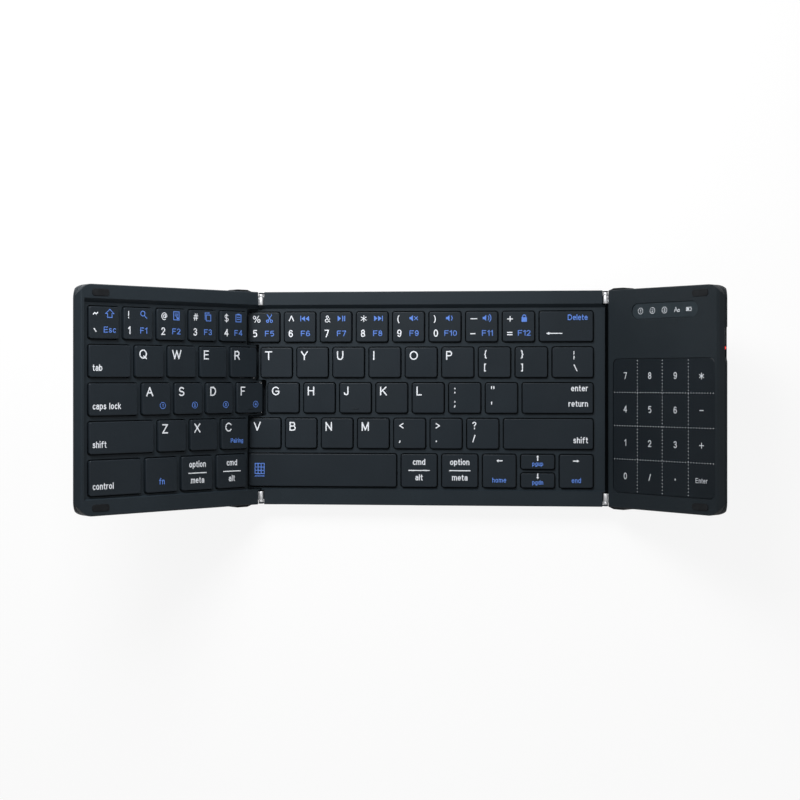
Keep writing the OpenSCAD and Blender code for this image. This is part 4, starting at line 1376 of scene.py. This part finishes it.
def caps_of(node: bpy.types.Object, panel: Panel) -> list[Cap]:
    """The caps in a CAD node.

    Args:
        node: the CAD node.
        panel: the panel it belongs to.

    Returns:
        Its caps, from left to right.
    """
    work = bmesh.new()
    work.from_mesh(node.data)
    work.transform(panel.place.inverted())
    bmesh.ops.remove_doubles(work, verts=work.verts, dist=WELD_MM)
    left = set(work.verts)
    found = []
    while left:
        group, edge = set(), [left.pop()]
        while edge:
            here = edge.pop()
            group.add(here)
            near = {e.other_vert(here) for e in here.link_edges} & left
            left -= near
            edge += near
        spots = [v.co.copy() for v in group]
        low = [min(s[i] for s in spots) for i in range(3)]
        high = [max(s[i] for s in spots) for i in range(3)]
        found.append(Cap(low[0], high[0], low[1], high[1], high[2]))
    work.free()
    return sorted(found, key=lambda c: c.x0)


@dataclass
class KeyField:
    """The keys: caps, printing, homing bars and the strips at the seam. Sizes are in millimetres."""

    nodes: dict[str, bpy.types.Object]
    wing: Panel
    middle: Panel
    wing_bodies: frozenset[str]
    gap: float = 0.5
    radius: float = 1.0
    roll: float = 0.32
    height: float = 1.6
    wall: float = 0.8
    bar_length: float = 3.2
    bar_width: float = 0.55
    bar_height: float = 0.22
    bar_inset: float = 2.0
    bar_taper: float = 0.7
    bar_sunk: float = 0.05
    bar_edge: float = 0.08
    home_keys: dict[str, int] = field(
        default_factory=lambda: {"left_home_letter_keys": 3, "home_letter_keys": 2}
    )
    sealed_rows: tuple[str, ...] = ("left_top_letter_keys", "left_home_letter_keys")
    strip_length: float = 3.0
    strip_height: float = 2.6
    strip_clearance: float = 0.04
    strip_overhang: float = 0.2
    strip_drop: float = 0.3
    sharp_from_deg: float = 40

    def build(self) -> None:
        """Builds every key node's caps and print."""
        recipe = CapRecipe(self.radius, self.roll, self.height, self.wall)
        for name in KEY_PRINT:
            panel = self.wing if name in self.wing_bodies else self.middle
            caps = caps_of(self.nodes[name], panel)
            self.shape_caps(recipe, name, panel, caps)
            self.print_caps(name, panel, caps)
            if name in self.home_keys:
                self.shape_bar(name, panel, caps[self.home_keys[name]])
        self.shape_strips()

    def shape_strips(self) -> None:
        """Makes the thin strips beside the sealed rows' last keys, where the camera would see daylight."""
        work = bmesh.new()
        size = (self.strip_length, self.gap - self.strip_clearance, self.strip_height)
        for name in self.sealed_rows:
            cap = caps_of(self.nodes[name], self.wing)[-1]
            x = cap.x1 + self.strip_overhang - size[0] / 2
            z = cap.top - self.strip_drop - size[2] / 2
            for y in (cap.y0 - self.gap / 2, cap.y1 + self.gap / 2):
                place = Matrix.Translation((x, y, z)) @ Matrix.Diagonal((*size, 1))
                bmesh.ops.create_cube(work, matrix=place)
        strips = new_object("seam_strips", mesh_of(work, "seam_strips"), RUBBER)
        self.wing.placed(strips, slot=RUBBER.name)

    def shape_caps(self, recipe: CapRecipe, name: str, panel: Panel, caps: list[Cap]) -> None:
        """Makes a node's caps.

        Args:
            recipe: the caps' tree.
            name: the node.
            panel: its panel.
            caps: the caps' blocks.
        """
        points = bpy.data.meshes.new(name + "_points")
        points.from_pydata([((c.x0 + c.x1) / 2, (c.y0 + c.y1) / 2, c.top) for c in caps], [], [])
        sizes = {
            "half_width": [(c.x1 - c.x0) / 2 for c in caps],
            "half_depth": [(c.y1 - c.y0) / 2 for c in caps],
        }
        for label, values in sizes.items():
            points.attributes.new(label, "FLOAT", "POINT").data.foreach_set("value", values)
        piece = recipe.run(name + "_caps", points, KEYS)
        for face in piece.data.polygons:
            face.use_smooth = True
        piece.data.set_sharp_from_angle(angle=math.radians(self.sharp_from_deg))
        panel.placed(piece, name, KEYS.name)
        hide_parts(name)

    def print_caps(self, name: str, panel: Panel, caps: list[Cap]) -> None:
        """Prints a node's caps.

        Args:
            name: the node.
            panel: its panel.
            caps: the caps' blocks.
        """
        sheets: dict[Ink, InkSheet] = {}
        for cap, marks in zip(caps, KEY_PRINT[name]):
            x0, x1, y0 = cap.x0 - self.gap, cap.x1 + self.gap, cap.y0 - self.gap
            places = {Side.LEFT: (x0, 1), Side.MIDDLE: ((x0 + x1) / 2, 1), Side.RIGHT: (x1, -1)}
            for mark in marks:
                sheet = sheets.setdefault(mark.ink, InkSheet())
                origin, way = places[mark.side]
                x, y, pen = origin + way * mark.x, y0 + mark.y, mark.line_width()
                if isinstance(mark.what, Icon):
                    sheet.sign(mark.what, x, y, mark.size, pen, cap.top)
                elif mark.what == "":
                    sheet.stroke([(x - mark.size / 2, y), (x + mark.size / 2, y)], pen, cap.top)
                else:
                    anchor = mark.anchor or mark.side
                    sheet.word(mark.what, x, y, mark.size, pen, anchor, cap.top, mark.stretch)
        for ink, sheet in sheets.items():
            label = f"{name}_{ink.name.lower()}_print"
            panel.placed(new_object(label, sheet.mesh(label), ink.value), name, KEYS.name)

    def shape_bar(self, name: str, panel: Panel, cap: Cap) -> None:
        """Makes the raised bar that the index finger finds.

        Args:
            name: the node it is on.
            panel: its panel.
            cap: its key.
        """
        work = bmesh.new()
        bmesh.ops.create_cube(work, size=1)
        for v in work.verts:
            shrink = self.bar_taper if v.co.z > 0 else 1
            v.co.x *= self.bar_length - (1 - shrink) * self.bar_width
            v.co.y *= self.bar_width * shrink
            v.co.z = cap.top + (self.bar_height if v.co.z > 0 else -self.bar_sunk)
            v.co.x += (cap.x0 + cap.x1) / 2
            v.co.y += cap.y0 + self.bar_inset
        rounding = {"offset": self.bar_edge, "segments": 2, "affect": "EDGES", "profile": 0.5}
        bmesh.ops.bevel(work, geom=work.edges[:], **rounding)
        label = name + "_bar"
        panel.placed(new_object(label, mesh_of(work, label), KEYS), name, KEYS.name)


@dataclass
class TouchWingTrim:
    """What is printed on the touchpad and its window, and the dome of the charging light.

    Sizes are in millimetres, and x counts from the fold.
    """

    panel: Panel
    lights: bpy.types.Object
    fold_x: float = 80.1
    pad_left: float = 4.3
    pad_right: float = 60.4
    pad_back: float = 18.1
    pad_front: float = -42.5
    pad_level: float = 7.35
    window_level: float = 7.2
    window_y: float = 39.5
    columns: tuple[float, float, float] = (18.2, 32.2, 46.4)
    rows: int = 4
    divider_margin: float = 0.8
    dot_pitch: float = 1.45
    dot_radius: float = 0.21
    dot_thickness: float = 0.02
    dot_lift: float = 0.01
    digit_size: float = 3.0
    digit_pen: float = 0.36
    word_size: float = 2.1
    word_pen: float = 0.24
    point_pen: float = 0.6
    labels: tuple[str, ...] = (*"789*456-123+0/.", "Enter")
    # How far below its cell's middle a label's baseline lies, as a share of its size.
    drops: dict[str, float] = field(default_factory=lambda: {"*": 0.6, "-": 0.4, "+": 0.4, ".": 0.2})
    usual_drop: float = 0.5
    sign_places: tuple[float, ...] = (19.9, 26.6, 33.3, 39.9, 46.6)
    last_signs: tuple[Icon, ...] = (Icon.CAPITALS, Icon.BATTERY)
    sign_size: float = 2.3
    sign_pen: float = 0.26
    ring_size: float = 2.7
    ring_pen: float = 0.22
    ringed_size: float = 1.5
    dome_radius: float = 0.75
    dome_overhang: float = 0.2
    dome_sunk: float = 0.7

    def build(self) -> None:
        """Prints the number pad, its dividers and the window's signs, and sets the light's dome."""
        self.print_dividers()
        self.print_numbers()
        self.print_signs()
        self.shape_dome()

    def shape_dome(self) -> None:
        """Makes the red dome on the outermost light, in the charging port's scoop."""
        light = caps_of(self.lights, self.panel)[-1]
        z = light.top - self.dome_radius * self.dome_sunk
        middle = (light.x1 + self.dome_overhang, (light.y0 + light.y1) / 2, z)
        work = bmesh.new()
        bmesh.ops.create_uvsphere(work, u_segments=24, v_segments=12, radius=self.dome_radius)
        bmesh.ops.translate(work, vec=middle, verts=work.verts)
        mesh = mesh_of(work, "charge_light_dome")
        mesh.shade_smooth()
        self.panel.placed(new_object("charge_light_dome", mesh, RED_LIGHT), slot=RED_LIGHT.name)

    def print_dividers(self) -> None:
        """Prints the dotted lines between the cells."""
        step = (self.pad_back - self.pad_front) / self.rows
        level, margin = self.pad_level + self.dot_lift, self.divider_margin
        left, right = self.pad_left + margin, self.pad_right - margin
        back, front = self.pad_back - margin, self.pad_front + margin
        heights = [self.pad_back - i * step for i in range(1, self.rows)]
        lines = [((left, y), (right, y)) for y in heights] + [((x, back), (x, front)) for x in self.columns]
        ends = [(self.fold_x + x, y, level) for line in lines for x, y in line]
        mesh = bpy.data.meshes.new("dividers")
        mesh.from_pydata(ends, [(2 * i, 2 * i + 1) for i in range(len(lines))], [])
        recipe = DotRecipe(self.dot_pitch, self.dot_radius, self.dot_thickness)
        self.panel.placed(recipe.run("touchpad_dividers", mesh, GREY_INK), slot=TOUCH.name)

    def print_numbers(self) -> None:
        """Prints the number pad's digits."""
        sheet = InkSheet()
        edges = (self.pad_left, *self.columns, self.pad_right)
        step = (self.pad_back - self.pad_front) / self.rows
        for i, label in enumerate(self.labels):
            row, column = divmod(i, len(edges) - 1)
            x = self.fold_x + (edges[column] + edges[column + 1]) / 2
            y = self.pad_back - (row + 0.5) * step
            size, pen = self.digit_size, self.point_pen if label == "." else self.digit_pen
            if len(label) > 1:
                size, pen = self.word_size, self.word_pen
            drop = self.drops.get(label, self.usual_drop)
            sheet.word(label, x, y - drop * size, size, pen, Side.MIDDLE, self.pad_level)
        self.place_print(sheet, "touchpad_numbers", TOUCH)

    def place_print(self, sheet: InkSheet, label: str, ground: Finish) -> None:
        """Places a grey sheet, printed on ground, on the wing."""
        self.panel.placed(new_object(label, sheet.mesh(label), GREY_INK), slot=ground.name)

    def print_signs(self) -> None:
        """Prints the signs in the indicator window."""
        sheet = InkSheet()
        level, pen, size = self.window_level, self.ring_pen, self.ringed_size
        places = [self.fold_x + place for place in self.sign_places]
        ringed = len(places) - len(self.last_signs)
        for i, x in enumerate(places[:ringed]):
            sheet.sign(Icon.RING, x, self.window_y, self.ring_size, pen, level)
            sheet.word(str(i + 1), x, self.window_y - size / 2, size, pen, Side.MIDDLE, level)
        for icon, x in zip(self.last_signs, places[ringed:]):
            sheet.sign(icon, x, self.window_y, self.sign_size, self.sign_pen, level)
        self.place_print(sheet, "window_signs", WINDOW)


@dataclass
class Shells:
    """The panels' housings and trim: CAD nodes with a better finish, or rounded copies of them."""

    nodes: dict[str, bpy.types.Object]
    record: dict
    rounded: dict[str, float] = field(
        default_factory=lambda: {
            "center_top_frame": 0.16,
            "left_top_frame": 0.16,
            "right_top_frame": 0.18,
            "center_bottom_cover": 0.2,
            "left_bottom_cover": 0.2,
            "right_bottom_cover": 0.2,
            "touchpad": 0.15,
            "indicator_window": 0.12,
            "left_bumpers": 0.15,
            "right_bumpers": 0.15,
            "left_feet": 0.25,
            "right_feet": 0.25,
            "center_feet": 0.15,
            "center_hinge_leaves": 0.12,
            "left_hinge_leaves": 0.12,
            "right_hinge_leaves": 0.12,
            "charge_port": 0.12,
        }
    )

    def build(self) -> None:
        """Dresses every CAD node that the keys don't replace."""
        slots = {s["node"]: s["material_slot"] for s in self.record["subparts"]}
        bodies = {n: b for b, members in self.record["behaviour"]["bodies"].items() for n in members}
        for name, node in self.nodes.items():
            if name in KEY_PRINT:
                continue
            finish = FINISH_OF_SLOT[slots[name]]
            if name in self.rounded:
                # The touchpad wing's housings take the darker copy of the shell plastic, which is painted
                # shade for a wing facing away from the light.
                look = SHADED_WING_SHELL if finish is SHELL and bodies[name] == "right_wing" else finish
                softened(node, bodies[name], self.rounded[name], look)
            else:
                node.data.materials.clear()
                node.data.materials.append(finish.material())
                LOG.info("%s: %s", name, finish.name)


@dataclass(frozen=True)
class SoftBox:
    """A square area lamp that faces the object. Place and size are in metres."""

    name: str
    place: tuple[float, float, float]
    size: float
    watts: float

    def build(self) -> None:
        """Makes the lamp."""
        light = bpy.data.lights.new(self.name, "AREA")
        light.shape, light.size, light.energy = "SQUARE", self.size, self.watts
        lamp = add_object(self.name, light)
        lamp.location = self.place
        lamp.rotation_euler = (-Vector(self.place)).to_track_quat("-Z", "Y").to_euler()


LAMPS = (
    SoftBox("back_box", (-0.12, 0.3, 0.3), 0.2, 2.5),
    SoftBox("front_box", (-0.1, -0.7, 1.2), 1.0, 0.5),
    SoftBox("left_box", (-1.0, 0.1, 0.9), 0.7, 0.2),
    SoftBox("right_box", (1.0, 0.0, 0.9), 0.7, 2.7),
)


@dataclass
class Studio:
    """A plain white studio, and the camera at the photograph's place. Lengths are in metres."""

    middle_x: float
    key_level: float = 0.0071
    camera_from_middle: tuple[float, float, float] = (0.0435, 0.0092, 0.6664)
    lean_deg: float = 4.995
    focal_px: float = 1437.9
    picture_px: float = 800
    principal_y_px: float = 378.57
    sensor_mm: float = 36
    clip: tuple[float, float] = (0.01, 20)
    floor_size: float = 6
    floor_grey: float = 0.9
    floor_glow: float = 0.88
    fill: float = 0.2

    def build(self) -> None:
        """Makes the camera, the lamps, the world and the floor."""
        self.make_camera()
        for lamp in LAMPS:
            lamp.build()
        self.make_world()
        self.make_floor()
        bpy.context.scene.view_settings.view_transform = "Standard"

    def make_camera(self) -> None:
        """Makes the camera."""
        lens = bpy.data.cameras.new("camera")
        lens.sensor_width = self.sensor_mm
        lens.lens = self.focal_px / self.picture_px * self.sensor_mm
        lens.shift_y = (self.principal_y_px - self.picture_px / 2) / self.picture_px
        lens.clip_start, lens.clip_end = self.clip
        camera = add_object("camera", lens)
        x, y, z = self.camera_from_middle
        camera.location = (self.middle_x + x, y, self.key_level + z)
        camera.rotation_euler = (0, math.radians(self.lean_deg), 0)
        bpy.context.scene.camera = camera

    def make_world(self) -> None:
        """Makes the world: white to the camera, and a gentle fill for the rest."""
        world = bpy.data.worlds.new("studio")
        bpy.context.scene.world = world
        world.use_nodes = True
        tree = world.node_tree
        tree.nodes.clear()
        strength = self.seen(tree) * (1 - self.fill) + self.fill
        white = {"Color": (1.0, 1.0, 1.0), "Strength": strength}
        light = add_node(tree, "ShaderNodeBackground", inputs=white)
        add_node(tree, "ShaderNodeOutputWorld", inputs={"Surface": light})

    def seen(self, tree: bpy.types.NodeTree) -> Socket:
        """1 for rays from the camera and for passed ones, else 0."""
        labels = ("Is Camera Ray", "Is Transmission Ray")
        camera, passed = (add_node(tree, "ShaderNodeLightPath", output=label) for label in labels)
        return (camera + passed).at_most(1)

    def make_floor(self) -> None:
        """Makes the white floor, which keeps the object's shadow."""
        half = self.floor_size / 2
        mesh = bpy.data.meshes.new("floor")
        mesh.from_pydata([(x, y, 0) for x, y in box(-half, -half, half, half)], [], [(0, 1, 2, 3)])
        floor = add_object("floor", mesh)
        surface = Surface("floor_white")
        matt = surface.add("ShaderNodeBsdfDiffuse", inputs={"Color": (self.floor_grey,) * 3})
        glow = surface.add("ShaderNodeEmission", inputs={"Color": (1.0, 1.0, 1.0), "Strength": 1.0})
        share = self.seen(surface.tree) * self.floor_glow
        both = surface.add("ShaderNodeMixShader", inputs={0: share, 1: matt, 2: glow})
        surface.add("ShaderNodeOutputMaterial", inputs={"Surface": both})
        mesh.materials.append(surface.material)


def main() -> None:
    """Builds the keyboard's looks and the studio."""
    logging.basicConfig(level=logging.INFO, format="%(name)s %(message)s")
    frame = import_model()
    middle, key_wing, touch_wing = flat_panels(frame["joints"])
    Studio(middle.place.translation.x).build()
    Shells(frame["nodes"], frame["record"]).build()
    wing_bodies = frozenset(j["child"] for j in frame["joints"] if j["parent"] == "left_wing")
    KeyField(frame["nodes"], key_wing, middle, wing_bodies).build()
    TouchWingTrim(touch_wing, frame["nodes"]["indicator_lights"]).build()


if __name__ == "__main__":
    main()
